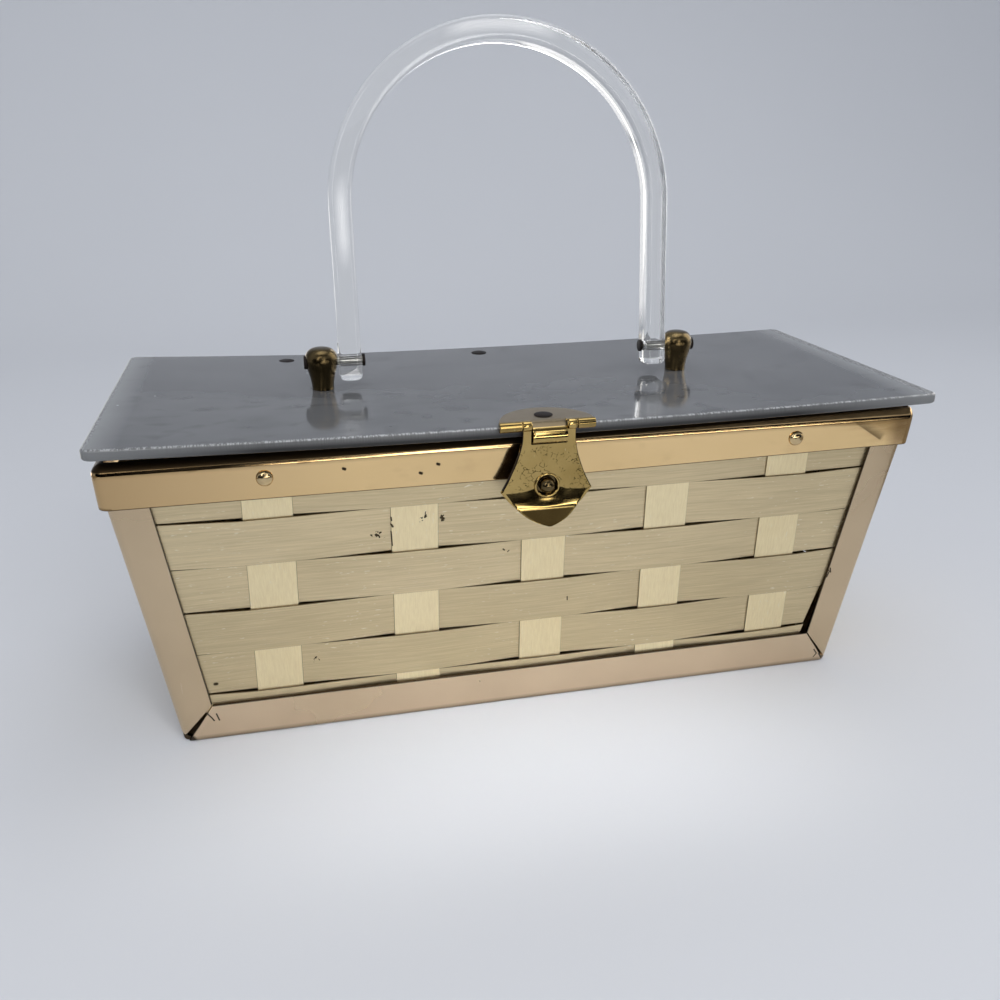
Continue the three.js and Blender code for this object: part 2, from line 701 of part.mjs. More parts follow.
const lid = new THREE.Group();
purse.add(lid);
lid.add(named("lid", lidSlab(), GREY_ACRYLIC));
for (const [place, side] of Object.entries({ left: -1, middle: 0, right: 1 })) {
  lid.add(named(`lid_rivet_${place}`, lidRivet(side * LID_RIVET.x), OLD_BRASS));
}
lid.add(named("hinge_upper_leaf", hingeUpperLeaf(), BRASS));
const knobShape = knob();
for (const [sideName, sx] of Object.entries({ left: -1, right: 1 })) {
  const mesh = named(`knob_${sideName}`, knobShape, OLD_BRASS);
  mesh.scale.x = sx;
  mesh.position.set(BOW.x, BOW.y, 0);
  lid.add(mesh);
}

const clasp = new THREE.Group();
clasp.position.x = CLASP.x;
lid.add(clasp);
clasp.add(named("clasp_plate", claspPlate(), BRASS));
clasp.add(named("clasp_rivet", claspRivet(), OLD_BRASS));
clasp.add(named("hasp", haspShield(), BRASS));
clasp.add(named("snap_cap", snapCap(), OLD_BRASS));

const bow = new THREE.Group();
bow.position.set(BOW.x, BOW.y, PIN_Z);
bow.rotation.x = -HANDLE.lean;
bow.add(named("handle", bowHandle(), CLEAR_ACRYLIC));
lid.add(bow);

export default purse;
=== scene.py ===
import math
import random
import bmesh
import bpy
from mathutils import Matrix, Vector, noise


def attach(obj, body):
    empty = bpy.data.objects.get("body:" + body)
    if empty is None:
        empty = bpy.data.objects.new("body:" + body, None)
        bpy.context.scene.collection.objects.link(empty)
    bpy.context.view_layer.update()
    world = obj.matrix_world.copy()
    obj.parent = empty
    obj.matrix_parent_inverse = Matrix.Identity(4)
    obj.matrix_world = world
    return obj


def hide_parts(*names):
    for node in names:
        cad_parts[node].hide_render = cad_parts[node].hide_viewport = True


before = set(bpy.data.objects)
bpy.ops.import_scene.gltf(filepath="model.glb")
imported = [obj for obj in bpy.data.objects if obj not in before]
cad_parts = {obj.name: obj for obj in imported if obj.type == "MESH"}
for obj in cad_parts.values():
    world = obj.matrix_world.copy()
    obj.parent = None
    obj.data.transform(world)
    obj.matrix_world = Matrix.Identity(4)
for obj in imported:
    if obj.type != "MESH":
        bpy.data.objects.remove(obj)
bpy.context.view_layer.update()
mm = 0.001
poleRadius = 0.001  # closes the ends of a spun shape
weldGap = 0.0005  # points nearer than this are one
cutGap = 1e-7


# small helpers for meshes, all sizes in millimetres
def meshFrom(name, points, faces):
    mesh = bpy.data.meshes.new(name)
    mesh.from_pydata([Vector(p) * mm for p in points], [], faces)
    mesh.update()
    return mesh


def tempObject(mesh):
    obj = bpy.data.objects.new("making_" + mesh.name, mesh)
    bpy.context.scene.collection.objects.link(obj)
    return obj


def bakedMesh(obj, name):  # evaluated result as a plain mesh, the maker object is dropped
    graph = bpy.context.evaluated_depsgraph_get()
    mesh = bpy.data.meshes.new_from_object(obj.evaluated_get(graph), depsgraph=graph)
    mesh.name = name
    bpy.data.objects.remove(obj)
    return mesh


def cleanMesh(mesh):  # doubles out, normals outwards
    work = bmesh.new()
    work.from_mesh(mesh)
    bmesh.ops.remove_doubles(work, verts=work.verts, dist=weldGap * mm)
    bmesh.ops.recalc_face_normals(work, faces=work.faces)
    work.to_mesh(mesh)
    work.free()
    return mesh


def joinedMesh(name, meshes):
    work = bmesh.new()
    for mesh in meshes:
        work.from_mesh(mesh)
    mesh = bpy.data.meshes.new(name)
    work.to_mesh(mesh)
    work.free()
    return mesh


def bevelled(mesh, width, segments=3, angle=35):
    obj = tempObject(mesh)
    bevel = obj.modifiers.new("edge", "BEVEL")
    bevel.width = width * mm
    bevel.segments = segments
    bevel.limit_method = "ANGLE"
    bevel.angle_limit = math.radians(angle)
    return bakedMesh(obj, mesh.name)


def carved(mesh, cutters):  # exact boolean difference
    obj = tempObject(mesh)
    tools = [tempObject(cutter) for cutter in cutters]
    for tool in tools:
        carve = obj.modifiers.new("carve", "BOOLEAN")
        carve.operation = "DIFFERENCE"
        carve.solver = "EXACT"
        carve.object = tool
    mesh = bakedMesh(obj, mesh.name)
    for tool in tools:
        bpy.data.objects.remove(tool)
    return mesh


def settled(mesh):  # broad faces stay flat in shading, eased edges turn softly
    obj = tempObject(mesh)
    weigh = obj.modifiers.new("weigh", "WEIGHTED_NORMAL")
    weigh.weight = 90
    weigh.keep_sharp = True
    return bakedMesh(obj, mesh.name)


def addPiece(name, mesh, body, slot, *materials, smooth=38):  # name is the CAD node that the piece dresses
    if len(mesh.materials) == 0:
        for material in materials:
            mesh.materials.append(material)
    mesh.shade_smooth()
    mesh.set_sharp_from_angle(angle=math.radians(smooth))
    mesh = settled(mesh)
    mesh.name = name + "_visual"
    obj = bpy.data.objects.new(name + "_visual", mesh)
    bpy.context.scene.collection.objects.link(obj)
    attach(obj, body)
    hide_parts(name)


def sweptRings(name, rings, closedPath=False):  # skin over rings of equal size
    size = len(rings[0])
    points = [p for ring in rings for p in ring]
    faces = []
    count = len(rings) if closedPath else len(rings) - 1
    for i in range(count):
        a, b = i * size, ((i + 1) % len(rings)) * size
        for j in range(size):
            k = (j + 1) % size
            faces.append((a + j, a + k, b + k, b + j))
    if not closedPath:
        faces.append(tuple(reversed(range(size))))
        faces.append(tuple((len(rings) - 1) * size + j for j in range(size)))
    return cleanMesh(meshFrom(name, points, faces))


def spunMesh(name, profile, sides=48):  # profile of (radius, height) about Z, from the underside up
    rings = []
    for r, z in profile:
        rings.append([(r * math.cos(a), r * math.sin(a), z) for a in
                      (2 * math.pi * k / sides for k in range(sides))])
    return sweptRings(name, rings)


def roundBar(name, radius, start, end, edge=0.25, sides=32):  # round bar between two points, edges eased
    axis = Vector(end) - Vector(start)
    length = axis.length
    profile = [(poleRadius, 0)]
    for k in range(4):
        turn = math.pi / 2 * k / 3
        profile.append((radius - edge + edge * math.sin(turn), edge - edge * math.cos(turn)))
    profile += [(r, length - z) for r, z in reversed(profile)]
    mesh = spunMesh(name, profile, sides)
    place = Matrix.Translation(Vector(start) * mm) @ axis.to_track_quat("Z", "Y").to_matrix().to_4x4()
    mesh.transform(place)
    return mesh


def smoothCurve(keys, steps):  # Catmull-Rom through rows of numbers
    out = []
    for i in range(len(keys) - 1):
        a, b, c, d = keys[max(i - 1, 0)], keys[i], keys[i + 1], keys[min(i + 2, len(keys) - 1)]
        for s in range(steps):
            t = s / steps
            out.append(tuple(0.5 * (2 * q + (r - p) * t + (2 * p - 5 * q + 4 * r - w) * t * t
                                    + (3 * q - p - 3 * r + w) * t ** 3)
                             for p, q, r, w in zip(a, b, c, d)))
    out.append(tuple(keys[-1]))
    return out


def roundedRing(halfX, halfY, radius, z, steps):
    ring = []
    for quarter, (sx, sy) in enumerate(((1, 1), (-1, 1), (-1, -1), (1, -1))):
        for k in range(steps + 1):
            angle = (quarter + k / steps) * math.pi / 2
            ring.append((sx * (halfX - radius) + radius * math.cos(angle),
                         sy * (halfY - radius) + radius * math.sin(angle), z))
    return ring


def shareOf(value, low, high):  # 0 at low, 1 at high
    return min(max((value - low) / (high - low), 0), 1)


def softNoise(x, y, z, seed):
    return noise.noise(Vector((x + 17.3 * seed, y - 9.1 * seed, z + 4.7 * seed)))


# shading helpers
def nodeMaker(tree):
    def add(kind, inputs=None, **settings):
        node = tree.nodes.new(kind)
        for key, value in settings.items():
            setattr(node, key, value)
        for key, value in (inputs or {}).items():
            if isinstance(value, bpy.types.NodeSocket):
                tree.links.new(value, node.inputs[key])
            else:
                node.inputs[key].default_value = value
        return node

    return add


def newFinish(name):
    material = bpy.data.materials.new(name)
    material.use_nodes = True
    tree = material.node_tree
    shader = tree.nodes["Principled BSDF"]
    add = nodeMaker(tree)

    def feed(socketName, value):
        if isinstance(value, bpy.types.NodeSocket):
            tree.links.new(value, shader.inputs[socketName])
        else:
            shader.inputs[socketName].default_value = value

    return material, add, feed


def objectCoords(add, scale=(1, 1, 1), place=(0, 0, 0)):
    coords = add("ShaderNodeTexCoord").outputs["Object"]
    return add("ShaderNodeMapping", {"Vector": coords, "Scale": scale, "Location": place}).outputs["Vector"]


def noiseOf(add, vector, detail=3.0, rough=0.55, distort=0.0):
    return add("ShaderNodeTexNoise", {"Vector": vector, "Scale": 1.0, "Detail": detail,
                                      "Roughness": rough, "Distortion": distort}).outputs[0]


def rangeOf(add, value, low, high, toLow=0.0, toHigh=1.0):
    return add("ShaderNodeMapRange", {"Value": value, "From Min": low, "From Max": high,
                                      "To Min": toLow, "To Max": toHigh}, clamp=True).outputs[0]


def spanOf(add, value, span, toLow=0.0, toHigh=1.0):  # the same with a span in millimetres
    return rangeOf(add, value, span[0] * mm, span[1] * mm, toLow, toHigh)


def mathOf(add, operation, a, b=0.0):
    return add("ShaderNodeMath", {0: a, 1: b}, operation=operation).outputs[0]


def times(add, a, b):
    return mathOf(add, "MULTIPLY", a, b)


def highest(add, a, b):
    return mathOf(add, "MAXIMUM", a, b)


def minus(add, a, b):
    return mathOf(add, "SUBTRACT", a, b)


def placeOf(add):  # x, y and z of the shaded point
    return add("ShaderNodeSeparateXYZ", {"Vector": objectCoords(add)}).outputs


def mixOf(add, factor, a, b):
    return add("ShaderNodeMix", {0: factor, 6: a, 7: b}, data_type="RGBA").outputs[2]


def rampOf(add, value, stops):
    node = add("ShaderNodeValToRGB", {"Fac": value})
    ramp = node.color_ramp
    ramp.elements[0].position, ramp.elements[0].color = stops[0][0], (*stops[0][1], 1)
    ramp.elements[1].position, ramp.elements[1].color = stops[-1][0], (*stops[-1][1], 1)
    for position, colour in stops[1:-1]:
        ramp.elements.new(position).color = (*colour, 1)
    return node.outputs["Color"]


def bumpOf(add, height, strength, distance):
    return add("ShaderNodeBump", {"Height": height, "Strength": strength, "Distance": distance}).outputs["Normal"]


def pitsOf(add, spacing, size, share):  # scattered pits as a 0 to 1 mask
    cells = add("ShaderNodeTexVoronoi", {"Vector": objectCoords(add), "Scale": 1 / (spacing * mm)})
    near = rangeOf(add, cells.outputs["Distance"], size * 0.6, size, 1.0, 0.0)
    pick = add("ShaderNodeSeparateColor", {"Color": cells.outputs["Color"]}).outputs[0]
    return times(add, near, mathOf(add, "LESS_THAN", pick, share))


basketSize = {"footX": 107.5, "footY": 34.8, "shoulderX": 117.1, "shoulderY": 43.4, "shoulderZ": 80.8}
sheet = {"thick": 0.9, "flange": 11.0, "radius": 2.5, "postTop": 86.5, "traySide": 12.6, "trayEdge": 0.9,
         "mitreGap": 0.18, "ease": 0.14, "crown": 0.28, "mitreOpen": 0.5, "sprungMitre": 1.0, "footOpen": 0.3,
         "sprungFoot": 1.5, "cutOver": 2.0, "cutUnder": 0.3, "cutSide": 1.0}
rim = {"low": 80.8, "high": 91.4, "lowX": 118.9, "lowY": 45.2, "highX": 119.3, "highY": 46.0, "wall": 1.0,
       "roll": 2.2, "lip": 2.9, "corner": 3.0, "cornerSteps": 10, "ringPitch": 5.0, "flatTop": 89.2,
       "dent": 0.08, "dentPitch": 45.0, "dentRise": 14.0,
       "rise": 1.25, "climbX": (10.0, 105.0), "climbFade": 6.0,  # the lower edge climbs towards the right
       "square": 0.6, "squareFrom": 89.5, "squareX": (95.0, 110.0),  # the right end keeps a squarer top
       "crest": [(0.0, 89.6), (0.015, 90.2), (0.045, 90.7), (0.15, 91.15), (0.28, 91.6), (0.55, 92.1), (1.0, 92.65),
                 (1.6, 93.15), (2.2, 93.47), (2.75, 93.6)]}
lidSize = {"x": 120.0, "y": 50.0, "thick": 3.05, "middle": 97.77, "sag": 1.49, "corner": 2.6, "ease": 0.7,
           "backReach": 1.7, "frontReach": 2.6, "cornerLift": 1.2, "liftX": (-60.0, -120.0), "liftY": (-10.0, 50.0),
           "cutPitch": 6.0, "cuts": 19, "edgeCut": 1.2}


def frontMark(add, a, b, width):  # a stroke on the front, from (x, z) a to (x, z) b
    flat = objectCoords(add, (1, 0, 1))
    start = Vector((a[0], 0, a[1])) * mm
    run = Vector((b[0] - a[0], 0, b[1] - a[1])) * mm
    away = add("ShaderNodeVectorMath", {0: flat, 1: start}, operation="SUBTRACT").outputs[0]
    share = add("ShaderNodeVectorMath", {0: away, 1: run / run.length_squared}, operation="DOT_PRODUCT").outputs[1]
    share = rangeOf(add, share, 0, 1)
    near = add("ShaderNodeVectorMath", {0: run, "Scale": share}, operation="SCALE").outputs[0]
    gap = add("ShaderNodeVectorMath", {0: away, 1: near}, operation="DISTANCE").outputs[1]
    mask = rangeOf(add, gap, width * 0.5 * mm, width * mm, 1.0, 0.0)
    return times(add, mask, mathOf(add, "LESS_THAN", placeOf(add)[1], 0.0))


def stainOf(add, centre, radius, scale):  # broken dark spots gathered around a point of the front
    flat = objectCoords(add, (1, 0, 1))
    gap = add("ShaderNodeVectorMath", {0: flat, 1: Vector((centre[0], 0, centre[1])) * mm},
              operation="DISTANCE").outputs[1]
    zone = rangeOf(add, gap, 0, radius * mm, 0.22, -0.3)
    spots = noiseOf(add, objectCoords(add, (scale, scale, scale)), detail=2)
    mask = rangeOf(add, mathOf(add, "ADD", spots, zone), 0.66, 0.69)
    return times(add, mask, mathOf(add, "LESS_THAN", placeOf(add)[1], 0.0))


# brushed strips of the weave: the grain follows the strip
stripLooks = {
    "row": {"dark": (0.6, 0.49, 0.297), "light": (0.795, 0.658, 0.418), "grain": (60, 60, 2400),
            "fleck": (420, 420, 1700), "rough": (0.36, 0.45)},
    "stake": {"dark": (0.87, 0.722, 0.435), "light": (0.985, 0.852, 0.552), "grain": (2300, 2300, 60),
              "fleck": (1700, 1700, 420), "rough": (0.38, 0.47)},
}
stains = [((-46.4, 65.4), 5.5, 900.0), ((-27.6, 68.9), 2.8, 700.0), ((-33.0, 70.0), 4.5, 900.0),
          ((-66.3, 24.2), 2.6, 800.0)]
wallPits = [((-96.4, 19.7), (-96.0, 19.7), 0.7), ((-9.4, 56.6), (-9.0, 56.2), 0.3),
            ((-42.5, 70.6), (-42.4, 69.6), 0.28), ((-42.5, 68.3), (-42.1, 67.6), 0.4),
            ((-42.6, 66.0), (-42.4, 61.4), 0.22), ((-28.0, 69.0), (-27.4, 68.6), 0.6),
            ((-8.0, 55.5), (-7.6, 55.9), 0.22), ((11.4, 37.6), (11.5, 36.4), 0.25)]  # strokes with their widths


def brushedStrip(kind):
    look = stripLooks[kind]
    material, add, feed = newFinish(kind + "Gold")
    grain = noiseOf(add, objectCoords(add, look["grain"]), detail=4, rough=0.65)
    patch = noiseOf(add, objectCoords(add, (18, 18, 40)), detail=2)
    tone = add("ShaderNodeAttribute", attribute_name="tone").outputs["Fac"]
    value = mathOf(add, "ADD", times(add, grain, 0.75), times(add, patch, 0.3))
    value = mathOf(add, "ADD", value, tone)
    colour = rampOf(add, value, [(0.36, look["dark"]), (0.72, look["light"])])
    flecks = noiseOf(add, objectCoords(add, look["fleck"]), detail=1)
    fleckZone = noiseOf(add, objectCoords(add, (25, 25, 25), (3, 1, 7)), detail=1)
    flecks = times(add, rangeOf(add, flecks, 0.68, 0.76), rangeOf(add, fleckZone, 0.42, 0.6))
    colour = mixOf(add, times(add, flecks, 0.6), colour, (0.93, 0.88, 0.74, 1))
    pits = pitsOf(add, 23, 0.016, 0.25)
    for centre, radius, scale in stains:
        pits = highest(add, pits, stainOf(add, centre, radius, scale))
    for a, b, width in wallPits:
        pits = highest(add, pits, frontMark(add, a, b, width))
    # painted shade along each strip's long edges, where rows and stakes meet
    outer = add("ShaderNodeAttribute", attribute_name="outer").outputs["Fac"]
    colour = mixOf(add, times(add, outer, 0.75), colour, (0.1, 0.075, 0.045, 1))
    colour = mixOf(add, times(add, pits, 0.95), colour, (0.035, 0.023, 0.012, 1))
    feed("Base Color", colour)
    feed("Metallic", 1.0)
    feed("Roughness", rangeOf(add, grain, 0.3, 0.7, *look["rough"]))
    feed("Normal", bumpOf(add, minus(add, grain, pits), 0.13, 0.00012))
    return material


trayMarks = [((-99.8, 10.2), (-98.6, 8.4)), ((-98.6, 8.4), (-98.0, 7.2)), ((-97.1, 9.6), (-96.5, 7.2)),
             ((102.0, 5.4), (103.3, 3.6)), ((103.3, 3.6), (102.5, 2.2)), ((104.2, 3.4), (105.6, 1.2))]
postMarks = [((100.2, 38.8), (101.3, 37.3)), ((100.6, 37.6), (100.9, 35.4)), ((101.5, 36.9), (101.0, 34.8)),
             ((101.6, 38.2), (102.0, 36.6))]


sheetLook = {"foot": (0.4, 2.2), "paintedEdgeShade": (0.14, 0.34), "corner": (3.3, 4.1), "markWidth": 0.3}


def frameFinish(part):  # champagne sheet, with painted shade along its inner edges and at the tray's foot
    material, add, feed = newFinish(part + "Sheet")
    cloud = noiseOf(add, objectCoords(add, (22, 22, 22)), detail=3)
    if part == "tray":
        colour = rampOf(add, cloud, [(0.3, (0.665, 0.515, 0.35)), (0.7, (0.775, 0.61, 0.42))])
    else:
        colour = rampOf(add, cloud, [(0.3, (0.575, 0.443, 0.288)), (0.7, (0.68, 0.532, 0.352))])
    scratch = noiseOf(add, objectCoords(add, (900, 500, 60)), detail=2)
    scratches = rangeOf(add, scratch, 0.72, 0.76)
    colour = mixOf(add, times(add, scratches, 0.3), colour, (0.78, 0.66, 0.5, 1))
    place = placeOf(add)
    if part == "tray":
        inside = minus(add, sheet["traySide"] * mm, place[2])
    else:
        leanX = (basketSize["shoulderX"] - basketSize["footX"]) / basketSize["shoulderZ"]
        leanY = (basketSize["shoulderY"] - basketSize["footY"]) / basketSize["shoulderZ"]
        alongX = minus(add, mathOf(add, "ABSOLUTE", place[0]), times(add, place[2], leanX))
        alongY = minus(add, mathOf(add, "ABSOLUTE", place[1]), times(add, place[2], leanY))
        inside = mathOf(add, "MINIMUM",
                        minus(add, alongX, (basketSize["footX"] - sheet["flange"]) * mm),
                        minus(add, alongY, (basketSize["footY"] - sheet["flange"]) * mm))
    if part == "tray":
        # painted shadow: the tray darkens towards the floor it stands on
        colour = mixOf(add, spanOf(add, place[2], sheetLook["foot"], 0.75, 0.0), colour, (0.2, 0.135, 0.075, 1))
    # painted shade along the edges that meet the weave
    dark = spanOf(add, inside, sheetLook["paintedEdgeShade"], 1.0, 0.0)
    if part == "tray":  # shaded inside of the sprung corner
        foot = Vector((-basketSize["footX"], -basketSize["footY"], 0)) * mm
        corner = add("ShaderNodeVectorMath", {0: objectCoords(add), 1: foot}, operation="DISTANCE").outputs[1]
        dark = highest(add, dark, spanOf(add, corner, sheetLook["corner"], 1.0, 0.0))
    for a, b in trayMarks if part == "tray" else postMarks:
        dark = highest(add, dark, frontMark(add, a, b, sheetLook["markWidth"]))
    dark = highest(add, dark, pitsOf(add, 12, 0.04, 0.2))
    feed("Base Color", mixOf(add, times(add, dark, 0.94), colour, (0.03, 0.022, 0.015, 1)))
    feed("Metallic", 1.0)
    feed("Roughness", rangeOf(add, cloud, 0.1, 0.9, 0.22, 0.36))
    feed("Normal", bumpOf(add, noiseOf(add, objectCoords(add, (40, 40, 40)), detail=1), 0.03, 0.0006))
    return material


rimPits = [(-29.3, 87.3), (-34.2, 85.0), (-55.0, 88.0)]
rimSmears = [((-95.0, 90.5), (-93.0, 90.6), 0.4), ((-67.0, 90.6), (-64.0, 90.7), 0.4),
             ((-118.6, 81.3), (-115.5, 81.1), 0.6)]  # dark streaks, with their widths
rimPaintedFold = {"start": (98.4, 90.5), "end": (108.2, 84.3), "crisp": (-0.3, 0.0), "fade": (0.2, 2.6),
           "lead": (-7.0, 5.0), "tail": (-0.6, 0.3)}  # painted dark reflection of a slanted crease by the right corner
rimLook = {"darkerLeftEnd": (-50.0, -119.0), "paintedReflectionRightEnd": (109.5, 113.5), "front": (-43.0, -44.0),
           "foot": (81.0, 81.25), "shade": (89.6, 90.5), "paintedShade": (91.3, 91.7), "paintedShadeX": (0.0, 110.0), "paintedShadeLift": 2.0}


def alongOf(add, start, way):  # distance from a point of the front, measured one way
    away = add("ShaderNodeVectorMath", {0: objectCoords(add, (1, 0, 1)), 1: Vector((start[0], 0, start[1])) * mm},
               operation="SUBTRACT").outputs[0]
    return add("ShaderNodeVectorMath", {0: away, 1: Vector((way[0], 0, way[1])).normalized()},
               operation="DOT_PRODUCT").outputs[1]


def paintedFoldOf(add):  # painted dark reflection of the crease, crisp on its lower side, fading upwards
    run = Vector(rimPaintedFold["end"]) - Vector(rimPaintedFold["start"])
    length = alongOf(add, rimPaintedFold["start"], run)
    side = alongOf(add, rimPaintedFold["start"], (-run.y, run.x))
    mask = times(add, spanOf(add, side, rimPaintedFold["crisp"]),
                 spanOf(add, side, rimPaintedFold["fade"], 1.0, 0.0))
    ends = times(add, spanOf(add, length, rimPaintedFold["lead"]),
                 spanOf(add, length, [run.length + gap for gap in rimPaintedFold["tail"]], 1.0, 0.0))
    return times(add, mask, ends)


def rimFinish():  # polished gold band
    material, add, feed = newFinish("polishedRim")
    cloud = noiseOf(add, objectCoords(add, (15, 15, 30)), detail=3)
    colour = rampOf(add, cloud, [(0.3, (0.84, 0.595, 0.29)), (0.7, (0.945, 0.68, 0.35))])
    grain = noiseOf(add, objectCoords(add, (60, 60, 900)), detail=3)
    place = placeOf(add)
    # darker towards the left end, painted dark reflection at the right end, random blotches of tarnish
    tarnishAndPaintedReflection = times(add, spanOf(add, place[0], rimLook["darkerLeftEnd"]), rangeOf(add, cloud, 0.3, 0.6, 0.45, 0.8))
    tarnishAndPaintedReflection = highest(add, tarnishAndPaintedReflection, spanOf(add, place[0], rimLook["paintedReflectionRightEnd"], 0.0, 0.8))
    blotch = noiseOf(add, objectCoords(add, (110, 110, 160)), detail=3)
    tarnishAndPaintedReflection = highest(add, tarnishAndPaintedReflection, rangeOf(add, blotch, 0.55, 0.8, 0.0, 0.3))
    colour = mixOf(add, tarnishAndPaintedReflection, colour, (0.44, 0.295, 0.15, 1))
    for a, b, width in rimSmears:
        colour = mixOf(add, times(add, frontMark(add, a, b, width), 0.7), colour, (0.24, 0.155, 0.07, 1))
    paintedFold = times(add, paintedFoldOf(add), spanOf(add, place[1], rimLook["front"], 0.0, 0.85))
    colour = mixOf(add, paintedFold, colour, (0.2, 0.13, 0.06, 1))
    climb = spanOf(add, place[0], rim["climbX"], 0.0, rim["rise"] * mm)
    # painted shadow along the rim's lower edge, over the weave
    foot = spanOf(add, minus(add, place[2], climb), rimLook["foot"], 0.85, 0.0)
    shade = spanOf(add, place[2], rimLook["shade"], 0.0, 0.45)
    colour = mixOf(add, shade, colour, (0.4, 0.26, 0.12, 1))
    top = minus(add, place[2], spanOf(add, place[0], rimLook["paintedShadeX"], 0.0, rimLook["paintedShadeLift"] * mm))
    paintedShade = highest(add, foot, spanOf(add, top, rimLook["paintedShade"], 0.0, 0.96))  # painted shade under the lid's overhang and along the lower edge, black where the lid shuts
    colour = mixOf(add, paintedShade, colour, (0.018, 0.012, 0.007, 1))
    pits = pitsOf(add, 9, 0.05, 0.2)
    for x, z in rimPits:
        pits = highest(add, pits, frontMark(add, (x - 0.25, z + 0.1), (x + 0.25, z - 0.1), 0.5))
    colour = mixOf(add, pits, colour, (0.04, 0.028, 0.018, 1))
    feed("Base Color", colour)
    feed("Metallic", 1.0)
    feed("Roughness", highest(add, rangeOf(add, grain, 0.35, 0.65, 0.1, 0.16), rangeOf(add, paintedShade, 0, 1, 0, 0.5)))
    height = minus(add, times(add, grain, 0.12), pits)
    feed("Normal", bumpOf(add, height, 0.2, 0.0002))
    return material


brassLook = {"topZ": (98.9, 99.15), "topY": (-50.4, -49.4), "slopeZ": (97.8, 98.1), "slopeY": (-52.5, -52.2),
             "middleX": 0.6, "middleHalf": 4.95, "bendY": (-50.2, -50.8), "barrelZ": (96.6, 97.0), "barrelX": 7.6,
             "faceLow": (78.0, 79.5), "faceHigh": (93.0, 91.5), "front": (-47.0, -48.0), "cracks": 650.0}


def brassFinish():  # polished clasp brass with wear, duller on the plate's top, with painted shade on the tongue's bend and on the outer knuckles
    material, add, feed = newFinish("claspBrass")
    cloud = noiseOf(add, objectCoords(add, (70, 70, 70)), detail=4)
    colour = rampOf(add, cloud, [(0.3, (0.37, 0.255, 0.085)), (0.7, (0.55, 0.395, 0.15))])
    place = placeOf(add)
    top = times(add, spanOf(add, place[2], brassLook["topZ"]),
                spanOf(add, place[1], brassLook["topY"]))
    slope = times(add, spanOf(add, place[2], brassLook["slopeZ"]),
                  spanOf(add, place[1], brassLook["slopeY"]))
    away = mathOf(add, "ABSOLUTE", minus(add, place[0], brassLook["middleX"] * mm))
    middle = mathOf(add, "LESS_THAN", away, brassLook["middleHalf"] * mm)
    slope = times(add, slope, middle)
    top = highest(add, top, slope)
    colour = mixOf(add, top, colour, mixOf(add, cloud, (0.28, 0.215, 0.125, 1), (0.42, 0.34, 0.23, 1)))
    # painted shade on the slope where the tongue bends down
    bend = spanOf(add, place[1], brassLook["bendY"], 0.0, 0.75)
    colour = mixOf(add, times(add, slope, bend), colour, (0.07, 0.053, 0.03, 1))
    # painted shade on the upper side of the outer knuckles
    barrel = times(add, spanOf(add, place[2], brassLook["barrelZ"]),
                   mathOf(add, "GREATER_THAN", mathOf(add, "ABSOLUTE", place[0]), brassLook["barrelX"] * mm))
    colour = mixOf(add, times(add, times(add, barrel, minus(add, 1.0, top)), 0.6),
                   colour, (0.2, 0.14, 0.05, 1))
    scratch = noiseOf(add, objectCoords(add, (1400, 800, 260)), detail=2, distort=0.4)
    scratches = rangeOf(add, scratch, 0.70, 0.74)
    colour = mixOf(add, times(add, scratches, 0.35), colour, (0.75, 0.66, 0.4, 1))
    cells = add("ShaderNodeTexVoronoi", {"Vector": objectCoords(add), "Scale": brassLook["cracks"]},
                feature="DISTANCE_TO_EDGE")
    cracks = rangeOf(add, cells.outputs["Distance"], 0.03, 0.07, 1.0, 0.0)
    zone = rangeOf(add, noiseOf(add, objectCoords(add, (260, 260, 260)), detail=2), 0.46, 0.54)
    broken = rangeOf(add, noiseOf(add, objectCoords(add, (1500, 1500, 1500)), detail=1), 0.44, 0.52)
    face = times(add, spanOf(add, place[2], brassLook["faceLow"]),
                 spanOf(add, place[2], brassLook["faceHigh"]))
    face = times(add, face, spanOf(add, place[1], brassLook["front"]))
    zone = times(add, zone, face)
    cracks = times(add, times(add, cracks, zone), broken)
    wear = highest(add, cracks, times(add, face, pitsOf(add, 1.8, 0.12, 0.16)))
    colour = mixOf(add, times(add, wear, 0.92), colour, (0.04, 0.028, 0.01, 1))
    feed("Base Color", colour)
    feed("Metallic", 1.0)
    feed("Roughness", highest(add, rangeOf(add, cloud, 0.3, 0.7, 0.06, 0.12), times(add, top, 0.3)))
    feed("Normal", bumpOf(add, minus(add, cloud, wear), 0.08, 0.0003))
    return material


oldBrass = [(0.32, (0.06, 0.043, 0.02)), (0.55, (0.13, 0.094, 0.044)), (0.75, (0.27, 0.2, 0.095))]
smallLooks = {  # parts that one noise tints
    "dullRivet": {"cloud": (300, 300, 300), "detail": 3, "rough": (0.14, 0.22), "bump": (0.1, 0.0003),
                  "tints": [(0.3, (0.5, 0.375, 0.2)), (0.7, (0.68, 0.52, 0.29))]},
    "agedBrass": {"cloud": (180, 180, 120), "detail": 4, "rough": (0.2, 0.3), "bump": (0.12, 0.0003),
                  "tints": oldBrass},
    "buttonBrass": {"cloud": (180, 180, 120), "detail": 4, "rough": (0.07, 0.14), "bump": (0.12, 0.0003),
                    "tints": oldBrass},
    "pinSteel": {"cloud": (900, 200, 200), "detail": 3, "rough": 0.3, "bump": (0.1, 0.0002),
                 "tints": [(0.3, (0.27, 0.265, 0.235)), (0.7, (0.42, 0.41, 0.375))]},
    "blackenedHead": {"cloud": (400, 400, 400), "detail": 3, "rough": (0.35, 0.55), "bump": (0.15, 0.0003),
                      "tints": [(0.3, (0.008, 0.006, 0.005)), (0.7, (0.022, 0.016, 0.014))],
                      "metallic": 0.0, "specular": 0.1},
}


